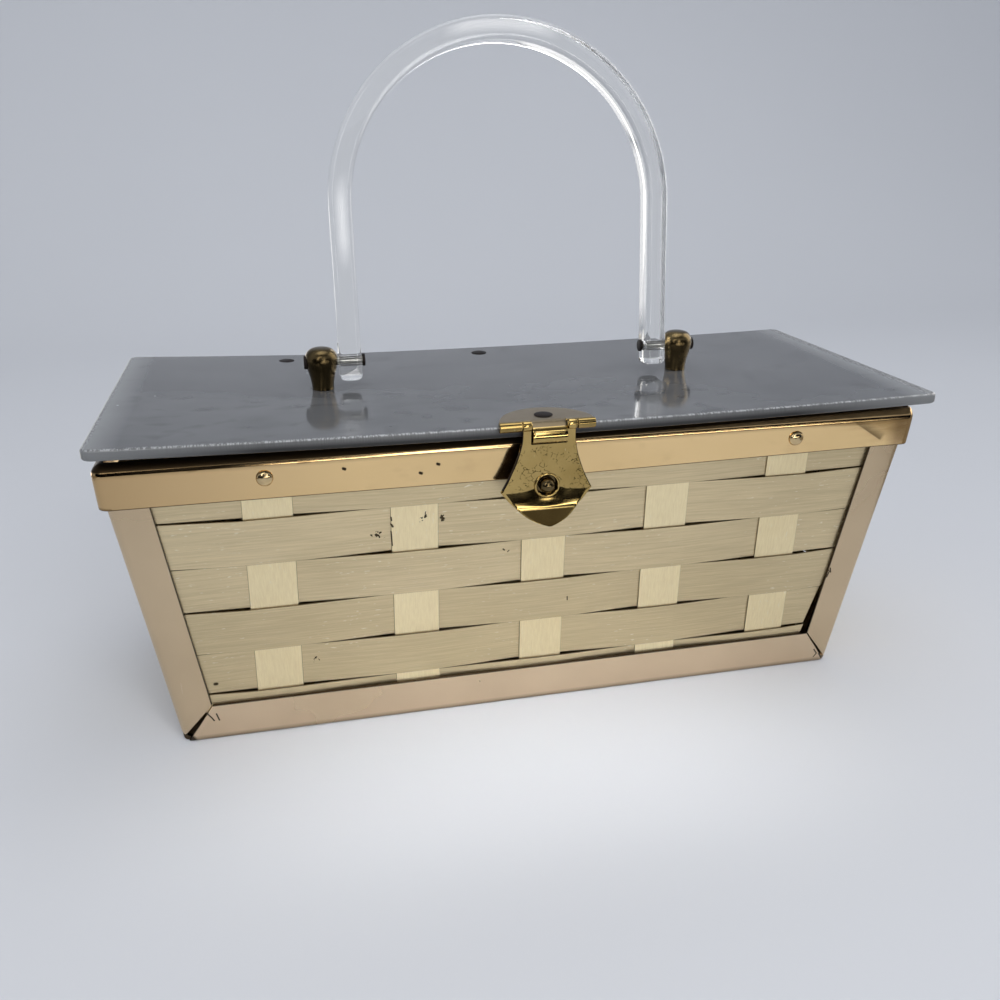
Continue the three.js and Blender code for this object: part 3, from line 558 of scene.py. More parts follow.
def smallFinish(name):
    look = smallLooks[name]
    material, add, feed = newFinish(name)
    cloud = noiseOf(add, objectCoords(add, look["cloud"]), detail=look["detail"])
    feed("Base Color", rampOf(add, cloud, look["tints"]))
    feed("Metallic", look.get("metallic", 1.0))
    if "specular" in look:
        feed("Specular IOR Level", look["specular"])
    rough = look["rough"]
    feed("Roughness", rangeOf(add, cloud, 0.3, 0.7, *rough) if isinstance(rough, tuple) else rough)
    feed("Normal", bumpOf(add, cloud, *look["bump"]))
    return material


lidLook = {"sideX": (118.2, 119.5), "sideY": (48.6, 49.6), "crest": (0.2, 0.42), "deep": (0.9, 2.1),
           "paleEnds": (111.0, 120.0), "paleFace": (75.0, 119.0)}


def greyAcrylicFinish():  # marbled pearl slab of the lid
    material, add, feed = newFinish("greyPearl")
    cloud = noiseOf(add, objectCoords(add, (16, 30, 30)), detail=3)
    streak = noiseOf(add, objectCoords(add, (45, 70, 70), (1, 4, 2)), detail=2)
    colour = rampOf(add, cloud, [(0.3, (0.094, 0.096, 0.1)), (0.7, (0.132, 0.134, 0.138))])
    colour = mixOf(add, rangeOf(add, streak, 0.5, 0.75, 0.0, 0.35), colour, (0.06, 0.061, 0.063, 1))
    smudge = noiseOf(add, objectCoords(add, (110, 140, 140), (5, 2, 1)), detail=1)
    colour = mixOf(add, rangeOf(add, smudge, 0.58, 0.82, 0.0, 0.55), colour, (0.035, 0.036, 0.037, 1))
    specks = pitsOf(add, 9, 0.045, 0.16)
    colour = mixOf(add, specks, colour, (0.6, 0.62, 0.64, 1))
    place = placeOf(add)
    alongX = mathOf(add, "ABSOLUTE", place[0])
    sideY = spanOf(add, mathOf(add, "ABSOLUTE", place[1]), lidLook["sideY"])
    sideX = spanOf(add, alongX, lidLook["sideX"])
    edge = highest(add, sideX, sideY)
    sag = times(add, mathOf(add, "POWER", place[0], 2.0), lidSize["sag"] / lidSize["x"] ** 2 / mm)
    depth = minus(add, mathOf(add, "ADD", sag, lidSize["middle"] * mm), place[2])
    # painted highlight: a pale dotted line along the top of the side faces
    crest = spanOf(add, depth, lidLook["crest"], 1.0, 0.0)
    sawAndGlint = noiseOf(add, objectCoords(add, (2600, 900, 300)), detail=1)
    paintedEdgeHighlight = rampOf(add, sawAndGlint, [(0.42, (0.11, 0.111, 0.112)), (0.6, (0.34, 0.345, 0.348))])
    face = rampOf(add, sawAndGlint, [(0.3, (0.075, 0.076, 0.077)), (0.7, (0.1, 0.101, 0.102))])
    # painted shade: the side faces darken towards the underside
    face = mixOf(add, spanOf(add, depth, lidLook["deep"]), face, (0.012, 0.012, 0.0125, 1))
    colour = mixOf(add, spanOf(add, alongX, lidLook["paleEnds"], 0.0, 0.75), colour, (0.3, 0.31, 0.31, 1))
    face = mixOf(add, spanOf(add, alongX, lidLook["paleFace"], 0.0, 0.85), face, (0.2, 0.205, 0.207, 1))
    feed("Base Color", mixOf(add, edge, colour, mixOf(add, crest, face, paintedEdgeHighlight)))
    feed("Roughness", rangeOf(add, edge, 0, 1, 0.085, 0.3))
    feed("IOR", 1.49)
    feed("Normal", bumpOf(add, noiseOf(add, objectCoords(add, (28, 28, 28)), detail=2), 0.05, 0.0006))
    return material


def clearAcrylicFinish():
    material, add, feed = newFinish("clearBow")
    feed("Base Color", (0.985, 0.985, 0.975, 1))
    feed("Transmission Weight", 0.95)
    feed("IOR", 1.49)
    haze = noiseOf(add, objectCoords(add, (90, 90, 90)), detail=3)
    feed("Roughness", rangeOf(add, haze, 0.4, 0.75, 0.0, 0.06))
    return material


rowGold = brushedStrip("row")
stakeGold = brushedStrip("stake")
trayGold = frameFinish("tray")
postGold = frameFinish("post")
rimGold = rimFinish()
dullRivet = smallFinish("dullRivet")
claspBrass = brassFinish()
agedBrass = smallFinish("agedBrass")
buttonBrass = smallFinish("buttonBrass")
pinSteel = smallFinish("pinSteel")
darkHead = smallFinish("blackenedHead")
greyPearl = greyAcrylicFinish()
clearBow = clearAcrylicFinish()
print("finishes:", len(bpy.data.materials))


# Geometry Nodes helpers
def newTree(name, inputs):
    tree = bpy.data.node_groups.new(name, "GeometryNodeTree")
    tree.interface.new_socket("Geometry", in_out="INPUT", socket_type="NodeSocketGeometry")
    sockets = {}
    for label, kind in inputs.items():
        sockets[label] = tree.interface.new_socket(label, in_out="INPUT", socket_type=kind).identifier
    tree.interface.new_socket("Geometry", in_out="OUTPUT", socket_type="NodeSocketGeometry")
    entry = tree.nodes.new("NodeGroupInput")
    leave = tree.nodes.new("NodeGroupOutput")
    add = nodeMaker(tree)

    def close(geometry, material):  # every tree ends the same way
        real = add("GeometryNodeRealizeInstances", {"Geometry": geometry}).outputs[0]
        painted = add("GeometryNodeSetMaterial", {"Geometry": real, "Material": material}).outputs[0]
        tree.links.new(painted, leave.inputs[0])

    return tree, sockets, entry.outputs, add, close


def grown(mesh, name, tree, sockets, values):  # runs a tree on a seed mesh
    obj = tempObject(mesh)
    grow = obj.modifiers.new("grow", "NODES")
    grow.node_group = tree
    for label, value in values.items():
        grow[sockets[label]] = value
    return bakedMesh(obj, name)


def stripTree():  # a flat strip with eased edges along a bent path
    tree, sockets, given, add, close = newTree("wovenStrip", {
        "Width": "NodeSocketFloat", "Thickness": "NodeSocketFloat", "Edge": "NodeSocketFloat",
        "Bend": "NodeSocketFloat", "Tone": "NodeSocketFloat", "Finish": "NodeSocketMaterial"})
    path = add("GeometryNodeMeshToCurve", {"Mesh": given["Geometry"]}).outputs[0]
    path = add("GeometryNodeFilletCurve", {"Curve": path, "Count": 4, "Radius": given["Bend"],
                                           "Limit Radius": True}, mode="POLY").outputs[0]
    path = add("GeometryNodeSetCurveNormal", {"Curve": path}, mode="Z_UP").outputs[0]
    section = add("GeometryNodeCurvePrimitiveQuadrilateral", {"Width": given["Width"],
                                                              "Height": given["Thickness"]}).outputs[0]
    section = add("GeometryNodeFilletCurve", {"Curve": section, "Count": 2, "Radius": given["Edge"],
                                              "Limit Radius": True}, mode="POLY").outputs[0]
    across = add("ShaderNodeSeparateXYZ", {0: add("GeometryNodeInputPosition").outputs[0]}).outputs[0]
    across = add("ShaderNodeMath", {0: across}, operation="ABSOLUTE").outputs[0]
    flat = add("ShaderNodeMath", {0: given["Width"], 1: 0.5, 2: -0.0001}, operation="MULTIPLY_ADD").outputs[0]
    # marks the long edges, which the finish darkens as painted shade
    outer = add("ShaderNodeMath", {0: across, 1: flat}, operation="GREATER_THAN").outputs[0]
    section = add("GeometryNodeStoreNamedAttribute", {"Geometry": section, "Name": "outer", "Value": outer}).outputs[0]
    skin = add("GeometryNodeCurveToMesh", {"Curve": path, "Profile Curve": section,
                                           "Fill Caps": True}).outputs[0]
    skin = add("GeometryNodeStoreNamedAttribute", {"Geometry": skin, "Name": "tone",
                                                   "Value": given["Tone"]}).outputs[0]
    close(skin, given["Finish"])
    return tree, sockets


def rivetTree():  # one rivet shape set on every seed point, turned as asked
    tree, sockets, given, add, close = newTree("rivetSet", {
        "Rivet": "NodeSocketObject", "Turn": "NodeSocketRotation", "Finish": "NodeSocketMaterial"})
    shape = add("GeometryNodeObjectInfo", {"Object": given["Rivet"], "As Instance": True}).outputs["Geometry"]
    heads = add("GeometryNodeInstanceOnPoints", {"Points": given["Geometry"], "Instance": shape,
                                                 "Rotation": given["Turn"]}).outputs[0]
    close(heads, given["Finish"])
    return tree, sockets


weaveTree, weaveSockets = stripTree()
rivetNodes, rivetSockets = rivetTree()


# woven walls
weave = {"rows": 6, "firstSeam": 15.9, "pitch": 14.53, "seam": 0.3, "foot": 3.0, "top": 86.0,
         "lift": 0.46, "inset": 1.52, "thick": 0.4, "edge": 0.17, "bend": 6.0, "endInset": 3.3,
         "endLift": 0.42, "endRise": 0.95, "stakeWidth": 13.7, "stakeFlat": 7.3, "backSeam": 0.04,
         "toneSpread": 0.09, "stakeTone": 0.6, "liftSpread": 0.04, "driftSpread": 0.06,
         "overTop": 14.0, "backIn": 16.1,  # heights between which a stake leaves the lowest row's face
         "frontStakes": (-77.5, -36.1, 2.7, 40.7, 79.8), "endStakes": (0.0,), "seed": 11,
         "frontSlant": ((-0.4, 1.5), (0.4, 0.3), (1.1, -0.2), (2.0, 0.0), (2.4, -0.6))}  # stake shift at foot and top
wedge = {"topZ": 38.0, "topGap": -0.4, "lowZ": 12.6, "lowGap": 2.3}  # opening beside the front right post
sprungCorner = {"foot": (-90.0, 2.0), "top": (-104.5, 13.4)}  # line that clips the lowest front row


def wallHalf(z):
    share = z / basketSize["shoulderZ"]
    return (basketSize["footX"] + (basketSize["shoulderX"] - basketSize["footX"]) * share,
            basketSize["footY"] + (basketSize["shoulderY"] - basketSize["footY"]) * share)


def rowSpan(row, seam):
    low = weave["firstSeam"] + (row - 1) * weave["pitch"]
    return max(low, weave["foot"]), min(low + weave["pitch"] - seam, weave["top"])


def stripMesh(name, path, width, tone, finish):
    points = [Vector(p) * mm for p in path]
    seed = bpy.data.meshes.new(name)
    seed.from_pydata(points, [(i, i + 1) for i in range(len(points) - 1)], [])
    return grown(seed, name, weaveTree, weaveSockets, {
        "Width": width * mm, "Thickness": weave["thick"] * mm, "Edge": weave["edge"] * mm,
        "Bend": weave["bend"] * mm, "Tone": tone, "Finish": finish})


def clipStrip(mesh, foot, top, keepLeft):  # cut along a line of the wall, the cut closed again
    along = (top - foot).normalized()
    work = bmesh.new()
    work.from_mesh(mesh)
    cut = bmesh.ops.bisect_plane(work, geom=work.verts[:] + work.edges[:] + work.faces[:], dist=cutGap,
                                 plane_co=foot, plane_no=Vector((along.y, -along.x, 0)),
                                 clear_outer=keepLeft, clear_inner=not keepLeft)
    edges = [e for e in cut["geom_cut"] if isinstance(e, bmesh.types.BMEdge)]
    if edges:
        bmesh.ops.holes_fill(work, edges=edges, sides=0)
    work.to_mesh(mesh)
    work.free()


def clipFrontRow(mesh, row, low, upSlope):
    def onWall(x, z):
        return Vector((x, z * upSlope, 0)) * mm

    if low < wedge["topZ"]:  # short of the right post near the foot
        post = [wallHalf(wedge[key])[0] - sheet["flange"] for key in ("lowZ", "topZ")]
        clipStrip(mesh, onWall(post[0] - wedge["lowGap"], wedge["lowZ"]),
                  onWall(post[1] - wedge["topGap"], wedge["topZ"]), True)
    if row == 0:
        clipStrip(mesh, onWall(*sprungCorner["foot"]), onWall(*sprungCorner["top"]), False)


def wovenWall(side, turn, stakes, footHalf, shoulderHalf, across):
    dice = random.Random(weave["seed"] + len(side) * 7 + int(turn * 10))
    lean = math.atan((shoulderHalf - footHalf) / basketSize["shoulderZ"])
    upSlope = 1 / math.cos(lean)
    place = (Matrix.Rotation(turn, 4, "Z")
             @ Matrix.Translation(Vector((0, -footHalf + weave["inset"] * upSlope, 0)) * mm)
             @ Matrix.Rotation(math.pi / 2 + lean, 4, "X"))
    for row in range(weave["rows"]):
        low, high = rowSpan(row, weave["seam"] if side == "front" else weave["backSeam"])
        middle = (low + high) / 2 * upSlope
        reach = wallHalf(low)[across] - weave["endInset"]
        path = [(-reach, middle + weave["endRise"], weave["endLift"])]
        for k, centre in enumerate(stakes):
            under = 0.0 if row == 0 else -weave["lift"]
            lift = under if (row + k) % 2 == 1 else weave["lift"]
            lift += dice.uniform(-1, 1) * weave["liftSpread"]
            for end in (-1, 1):
                drift = dice.uniform(-1, 1) * weave["driftSpread"]
                path.append((centre + end * weave["stakeFlat"], middle + drift, lift))
        path.append((reach, middle + weave["endRise"], weave["endLift"]))
        tone = dice.uniform(-1, 1) * weave["toneSpread"]
        mesh = stripMesh(side + "Row", path, (high - low) * upSlope, tone, rowGold)
        if side == "front":
            clipFrontRow(mesh, row, low, upSlope)
        mesh.transform(place)
        addPiece(f"{side}_row_{row + 1}", mesh, "basket", "row_gold", rowGold)
    for k, centre in enumerate(stakes):
        footShift, topShift = weave["frontSlant"][k] if side == "front" else (0, 0)
        path = [(centre + footShift, weave["foot"] * upSlope, 0)]
        if k % 2 == 1:  # these pass over the lowest row
            path = [(centre + footShift, z * upSlope, weave["lift"]) for z in (weave["foot"], weave["overTop"])]
            path.append((centre + footShift, weave["backIn"] * upSlope, 0))
        path.append((centre + topShift, weave["top"] * upSlope, 0))
        tone = dice.uniform(-1, 1) * weave["toneSpread"] * weave["stakeTone"]
        mesh = stripMesh(side + "Stake", path, weave["stakeWidth"], tone, stakeGold)
        mesh.transform(place)
        addPiece(f"{side}_stake_{k + 1}", mesh, "basket", "stake_gold", stakeGold)


longWall = (weave["frontStakes"], basketSize["footY"], basketSize["shoulderY"], 0)
endWall = (weave["endStakes"], basketSize["footX"], basketSize["shoulderX"], 1)
for side, turn, wall in (("front", 0, longWall), ("right", math.pi / 2, endWall),
                         ("back", math.pi, longWall), ("left", -math.pi / 2, endWall)):
    wovenWall(side, turn, *wall)
print("weave: 4 walls")


# folded tray and corner posts
mitreRise = sheet["traySide"] / sheet["flange"]


def trayMesh():
    def ringAt(z, inset):
        halfX, halfY = wallHalf(z)
        swell = sheet["crown"] * (1 - (2 * z / sheet["traySide"] - 1) ** 2)
        return roundedRing(halfX - inset + swell, halfY - inset + swell, sheet["radius"], z, 6)

    e = sheet["trayEdge"]
    bend = [ringAt(e * (1 - math.cos(t)), e * (1 - math.sin(t))) for t in
            (math.pi / 2 * k / 5 for k in range(6))]
    outside = sweptRings("tray", bend + [ringAt(sheet["traySide"] * k / 8, 0) for k in range(1, 9)])
    overZ = sheet["traySide"] + sheet["cutOver"]
    halfX, halfY = wallHalf(overZ)
    mouth = roundedRing(halfX - sheet["thick"], halfY - sheet["thick"], sheet["radius"], overZ, 6)
    cutters = [sweptRings("hollow", [ringAt(sheet["thick"], sheet["thick"]), mouth])]
    for sx in (1, -1):
        for sy in (1, -1):
            spread = sheet["sprungMitre" if (sx, sy) == (-1, -1) else "mitreOpen"]  # sprung at the front left
            rings = []
            for z in (-sheet["cutUnder"], overZ):
                halfX, halfY = wallHalf(z)
                reach = max(z, 0) / mitreRise + spread * max(1 - max(z, 0) / sheet["traySide"], 0)
                x, y = sx * (halfX + sheet["cutSide"]), sy * (halfY + sheet["cutSide"])
                reach += sheet["cutSide"]
                rings.append([(x + reach, y + reach, z), (x - reach, y + reach, z),
                              (x - reach, y - reach, z), (x + reach, y - reach, z)])
            cutters.append(sweptRings("mitre", rings))
    return bevelled(cleanMesh(carved(outside, cutters)), sheet["ease"], 2)


def postMesh(sx, sy, gapFoot):
    flats = [sheet["flange"] - (sheet["flange"] - sheet["radius"]) * k / 6 for k in range(6)]
    stations = [(along, 0, 0, 1) for along in flats]
    for k in range(9):
        angle = math.pi / 2 * (1 - k / 8)
        stations.append((sheet["radius"] * (1 - math.cos(angle)), sheet["radius"] * (1 - math.sin(angle)),
                         math.cos(angle), math.sin(angle)))
    stations += [(0, along, 1, 0) for along in reversed(flats)]
    rings = []
    for dx, dy, inX, inY in stations:
        away = max(dx, dy)
        foot = mitreRise * away + 2 * sheet["mitreGap"] + gapFoot * (1 - away / sheet["flange"])
        ring = []
        swell = -sheet["crown"] * (1 - (2 * away / sheet["flange"] - 1) ** 2)
        for z, depth in ((sheet["postTop"], swell), (sheet["postTop"], sheet["thick"]),
                         (foot, sheet["thick"]), (foot, swell)):
            halfX, halfY = wallHalf(z)
            ring.append((sx * (halfX - dx - inX * depth), sy * (halfY - dy - inY * depth), z))
        rings.append(ring)
    return bevelled(sweptRings("post", rings), sheet["ease"], 2)


addPiece("base_tray", trayMesh(), "basket", "frame_gold", trayGold)
for endName, sy in (("front", -1), ("back", 1)):
    for sideName, sx in (("left", -1), ("right", 1)):
        node = f"post_{endName}_{sideName}"
        openFoot = sheet["sprungFoot" if node == "post_front_left" else "footOpen"]
        addPiece(node, postMesh(sx, sy, openFoot), "basket", "frame_gold", postGold)
print("frame: tray and 4 posts")


# rolled rim band
def rimMesh():
    section = [(0.25, rim["low"]), (0.05, rim["low"] + 0.12), (0, rim["low"] + 0.4)]
    section += [(0, rim["low"] + (rim["flatTop"] - rim["low"]) * k / 4) for k in range(1, 5)]
    section += smoothCurve(rim["crest"], 3)
    inner = rim["roll"] - rim["wall"]
    section += [(rim["lip"], rim["high"] + rim["roll"] - 0.15),
                (rim["lip"], rim["high"] + inner + 0.1), (rim["lip"] - 0.15, rim["high"] + inner)]
    for k in (6, 4, 2, 0):
        angle = math.pi / 2 * k / 8
        section.append((rim["wall"] + inner * (1 - math.cos(angle)), rim["high"] + inner * math.sin(angle)))
    section += [(rim["wall"], rim["low"] + 0.2), (rim["wall"] - 0.2, rim["low"])]
    rings = []
    for inset, z in section:
        share = min((z - rim["low"]) / (rim["high"] - rim["low"]), 1)
        halfX = rim["lowX"] + (rim["highX"] - rim["lowX"]) * share - inset
        halfY = rim["lowY"] + (rim["highY"] - rim["lowY"]) * share - inset
        corner = max(rim["corner"] - inset, 1)
        ring = []
        outline = roundedRing(halfX, halfY, corner, z, rim["cornerSteps"])
        for i, p in enumerate(outline):
            q = outline[(i + 1) % len(outline)]
            steps = max(1, round((Vector(q) - Vector(p)).length / rim["ringPitch"]))
            ring += [tuple(Vector(p).lerp(Vector(q), k / steps)) for k in range(steps)]
        low = max(1 - (z - rim["low"]) / rim["climbFade"], 0)
        square = rim["square"] * inset if z > rim["squareFrom"] else 0
        pitch = rim["dentPitch"]
        rings.append([(x + square * shareOf(x, *rim["squareX"]),
                       y + rim["dent"] * softNoise(x / pitch, y / pitch, z / rim["dentRise"], 3),
                       z + rim["rise"] * low * shareOf(x, *rim["climbX"])) for x, y, z in ring])
    count = len(rings[0])
    across = [[ring[j] for ring in rings] for j in range(count)]
    return sweptRings("rim", across, closedPath=True)


addPiece("rim_band", rimMesh(), "basket", "rim_gold", rimGold, smooth=50)
print("rim band")


# rivets and the snap post
rivets = {"rimX": (-76.0, 79.1), "rimZ": 87.0, "rimHead": 2.3, "rimDome": 1.3, "lidX": (-68.0, 0.0, 68.0),
          "lidY": 40.7, "lidHead": 2.7, "lidDome": 0.3, "claspX": 0.6, "claspY": -45.2, "claspHead": 2.65,
          "claspDome": 0.35, "shank": 1.1, "tail": 1.75, "tailThick": 0.5, "rimGrip": 1.6, "lidTailZ": 93.65,
          "claspTailZ": 94.4, "seatGap": 0.05}


def lidTop(x):
    return lidSize["middle"] + lidSize["sag"] * (x / lidSize["x"]) ** 2


def rivetShape(kind, grip):
    head, dome, shank, tail = rivets[kind + "Head"], rivets[kind + "Dome"], rivets["shank"], rivets["tail"]
    foot = -grip - rivets["tailThick"]
    profile = [(poleRadius, foot), (tail - 0.15, foot), (tail, foot + 0.2), (tail, -grip), (shank, -grip),
               (shank, 0), (head - 0.12, 0)]
    for k in range(9):
        angle = math.pi / 2 * k / 8
        profile.append((max(head * math.cos(angle), poleRadius), dome * math.sin(angle) + 0.06 * (k < 8)))
    return spunMesh("rivet", profile, 32)


def setRivets(points, shape, turn, material):
    shapeObject = tempObject(shape)
    seed = bpy.data.meshes.new("rivetPlaces")
    seed.from_pydata([Vector(p) * mm for p in points], [], [])
    mesh = grown(seed, "rivets", rivetNodes, rivetSockets, {
        "Rivet": shapeObject, "Turn": turn, "Finish": material})
    bpy.data.objects.remove(shapeObject)
    return mesh


def rimFront(z):
    return -(rim["lowY"] + (rim["highY"] - rim["lowY"]) * (z - rim["low"]) / (rim["high"] - rim["low"]))


rimLean = math.atan((rim["highY"] - rim["lowY"]) / (rim["high"] - rim["low"]))
for name, x in zip(("left", "right"), rivets["rimX"]):
    place = (x, rimFront(rivets["rimZ"]) - rivets["seatGap"], rivets["rimZ"])
    heads = setRivets([place], rivetShape("rim", rivets["rimGrip"]), (math.pi / 2 + rimLean, 0, 0), dullRivet)
    addPiece(f"rim_rivet_{name}", heads, "basket", "rim_gold", dullRivet)
for name, x in zip(("left", "middle", "right"), rivets["lidX"]):
    place = (x, rivets["lidY"], lidTop(x) + rivets["seatGap"])
    heads = setRivets([place], rivetShape("lid", lidTop(x) - rivets["lidTailZ"]), (0, 0, 0), darkHead)
    addPiece(f"lid_rivet_{name}", heads, "lid", "old_brass", darkHead)

snap = {"x": 0.6, "postZ": 83.4, "postFront": -48.6, "postTail": -43.4, "postRadius": 2.0, "tail": 3.2,
        "tailFront": -44.0}
snapPost = joinedMesh("snapPost", [
    roundBar("stem", snap["postRadius"], (snap["x"], snap["postFront"], snap["postZ"]),
             (snap["x"], snap["postTail"], snap["postZ"])),
    roundBar("tail", snap["tail"], (snap["x"], snap["tailFront"], snap["postZ"]),
             (snap["x"], snap["postTail"], snap["postZ"]))])
addPiece("snap_post", snapPost, "basket", "brass", claspBrass)
print("rivets and snap post")


# hinge at the back
hinge = {"y": 47.8, "z": 92.9, "barrel": 1.5, "pin": 0.8, "leaf": 0.55, "half": 80.0, "sections": 5,
         "gap": 0.3, "upperFront": 36.4, "upperTop": 94.5, "lowerFoot": 82.6, "lowerY": 46.3,
         "pinShort": 0.15, "neckIn": 1.0}


def plateMesh(name, low, high, ease=0.12):
    (x0, y0, z0), (x1, y1, z1) = low, high
    ring = [(x0, y0), (x1, y0), (x1, y1), (x0, y1)]
    mesh = sweptRings(name, [[(x, y, z) for x, y in ring] for z in (z0, z1)])
    return bevelled(mesh, ease, 2)


def hingeLeaf(lower):
    h = hinge
    length = 2 * h["half"] / h["sections"]
    backY, shortZ = h["lowerY"] + h["leaf"], h["z"] - h["barrel"] - 2 * h["gap"]
    lowZ, shortY = h["upperTop"] - h["leaf"], h["y"] - h["barrel"] - 2 * h["gap"]
    if lower:
        pinHalf = h["half"] - h["pinShort"]
        pieces = [roundBar("pin", h["pin"], (-pinHalf, h["y"], h["z"]), (pinHalf, h["y"], h["z"])),
                  plateMesh("leaf", (-h["half"], h["lowerY"], h["lowerFoot"]), (h["half"], backY, shortZ))]
    else:
        pieces = [plateMesh("leaf", (-h["half"], h["upperFront"], lowZ), (h["half"], shortY, h["upperTop"]))]
    for k in range(h["sections"]):
        if (k % 2 == 0) != lower:
            continue
        start = -h["half"] + k * length + h["gap"] / 2
        stop = start + length - h["gap"]
        pieces.append(roundBar("knuckle", h["barrel"], (start, h["y"], h["z"]), (stop, h["y"], h["z"])))
        if lower:
            pieces.append(plateMesh("neck", (start, h["lowerY"], shortZ - h["neckIn"]), (stop, backY, h["z"])))
        else:
            pieces.append(plateMesh("neck", (start, shortY - h["neckIn"], lowZ), (stop, h["y"], h["upperTop"])))
    return joinedMesh("hingeLeaf", pieces)


addPiece("hinge_lower_leaf", hingeLeaf(True), "basket", "brass", claspBrass)
addPiece("hinge_upper_leaf", hingeLeaf(False), "lid", "brass", claspBrass)
print("hinge leaves")


# warped acrylic lid
def lidMesh():
    s = lidSize
    e = s["ease"]
    rings = []
    levels = [(e * (1 - math.cos(t)), e * (1 - math.sin(t))) for t in (math.pi / 2 * k / 4 for k in range(5))]
    for rise, inset in levels:
        rings.append(roundedRing(s["x"] - inset, s["y"] - inset, s["corner"] - inset * 0.5, rise, 6))
    for rise, inset in reversed(levels):
        rings.append(roundedRing(s["x"] - inset, s["y"] - inset, s["corner"] - inset * 0.5, s["thick"] - rise, 6))
    mesh = sweptRings("lid", rings)
    work = bmesh.new()
    work.from_mesh(mesh)
    cuts = [((k * s["cutPitch"], 0, 0), (1, 0, 0)) for k in range(-s["cuts"], s["cuts"] + 1)]
    cuts += [((0, sy * (s["y"] - s["edgeCut"]), 0), (0, 1, 0)) for sy in (1, -1)]
    cuts += [((sx * (s["x"] - s["edgeCut"]), 0, 0), (1, 0, 0)) for sx in (1, -1)]
    for place, normal in cuts:
        bmesh.ops.bisect_plane(work, geom=work.verts[:] + work.edges[:] + work.faces[:], dist=cutGap,
                               plane_co=Vector(place) * mm, plane_no=normal)
    for v in work.verts:
        x, y = v.co.x / mm, v.co.y / mm
        v.co.z += (lidTop(x) - s["thick"]) * mm
        v.co.z += s["cornerLift"] * mm * shareOf(x, *s["liftX"]) * shareOf(y, *s["liftY"])
        front = 0.5 - y / s["y"] / 2
        reach = s["backReach"] + (s["frontReach"] - s["backReach"]) * front
        v.co.x += reach * mm * max(x / s["x"], 0)
    work.to_mesh(mesh)
    work.free()
    return mesh


addPiece("lid", lidMesh(), "lid", "grey_acrylic", greyPearl, smooth=30)
print("lid")


# knobs with their pins, and the clear bow
bow = {"x": 0.8, "y": 1.2, "leg": 49.5, "width": 6.8, "depth": 8.6, "edge": 1.5, "straight": 45.0, "foot": 6.1,
       "lean": 0.12, "footEase": 1.9, "footTaper": 0.8, "steps": 72, "pin": 1.3, "bore": 1.62, "boreOver": 6.0,
       "head": 1.9, "headThick": 0.9, "nutOver": 0.2}
knob = {"x": 58.2, "pinHeight": 8.5, "pinOut": 4.9, "gap": 0.3, "stem": 1.3, "foot": 2.4, "footThick": 0.8,
        "profile": [(3.35, 0.1), (3.33, 0.7), (3.42, 1.7), (3.75, 3.8), (4.35, 6.1), (4.87, 8.0), (5.0, 9.3),
                    (4.62, 11.0), (3.4, 12.35), (1.7, 12.9), (poleRadius, 13.0)]}
knobSeat = lidTop(bow["x"] + knob["x"])
pinZ = knobSeat + knob["pinHeight"]


def knobMesh(sx):
    under = -lidSize["thick"] - knob["gap"]
    profile = [(poleRadius, under - knob["footThick"]), (knob["foot"], under - knob["footThick"]),
               (knob["foot"], under), (knob["stem"], under), (knob["stem"], 0.1)]
    body = spunMesh("knob", profile + smoothCurve(knob["profile"], 4), 48)
    body.transform(Matrix.Translation(Vector((bow["x"] + sx * knob["x"], bow["y"], knobSeat)) * mm))
    inner = bow["x"] + sx * (bow["leg"] - bow["width"] / 2 - knob["gap"])
    outer = bow["x"] + sx * (knob["x"] + knob["pinOut"])
    y, thick = bow["y"], sx * bow["headThick"]
    pin = roundBar("pin", bow["pin"], (inner - thick / 2, y, pinZ), (outer, y, pinZ))
    for face in pin.polygons:
        face.material_index = 1
    parts = [body, pin,
             roundBar("head", bow["head"], (inner - thick, y, pinZ), (inner, y, pinZ), 0.2),
             roundBar("nut", bow["head"] + bow["nutOver"], (outer - thick, y, pinZ), (outer + thick / 2, y, pinZ), 0.3)]
    for part in parts[2:]:
        for face in part.polygons:
            face.material_index = 2
    return joinedMesh("knob", parts)


for name, sx in (("left", -1), ("right", 1)):
    addPiece(f"knob_{name}", knobMesh(sx), "lid", "old_brass", agedBrass, pinSteel, darkHead)


def bowMesh():
    leg = bow["straight"] + bow["foot"]
    arc = math.pi * bow["leg"]
    total = 2 * leg + arc
    ease = bow["footEase"]
    easeStops = [ease * (1 - math.cos(math.pi / 2 * k / 5)) for k in range(6)]
    stops = easeStops + [ease + (total - 2 * ease) * k / bow["steps"] for k in range(1, bow["steps"])]
    stops += [total - s for s in reversed(easeStops)]
    rings = []
    for s in stops:
        if s < leg:
            x, z, out = -bow["leg"], s - bow["foot"], math.pi
        elif s > leg + arc:
            x, z, out = bow["leg"], bow["straight"] - (s - leg - arc), 0.0
        else:
            out = math.pi - (s - leg) / bow["leg"]
            x, z = bow["leg"] * math.cos(out), bow["straight"] + bow["leg"] * math.sin(out)
        near = min(s, total - s)
        shrink = ease - math.sqrt(max(ease ** 2 - (ease - near) ** 2, 0)) if near < ease else 0
        wide, deep = bow["width"] / 2 - shrink * bow["footTaper"], bow["depth"] / 2 - shrink
        ring = []
        for px, py, _ in roundedRing(wide, deep, bow["edge"], 0, 5):
            ring.append((x + px * math.cos(out), py, z + px * math.sin(out)))
        rings.append(ring)
    mesh = sweptRings("bow", rings)
    boreHalf = bow["leg"] + bow["boreOver"]
    bore = roundBar("bore", bow["bore"], (-boreHalf, 0, 0), (boreHalf, 0, 0), 0.1, 40)
    mesh = carved(mesh, [bore])
    mesh.transform(Matrix.Translation(Vector((bow["x"], bow["y"], pinZ)) * mm)
                   @ Matrix.Rotation(-bow["lean"], 4, "X"))
    return mesh


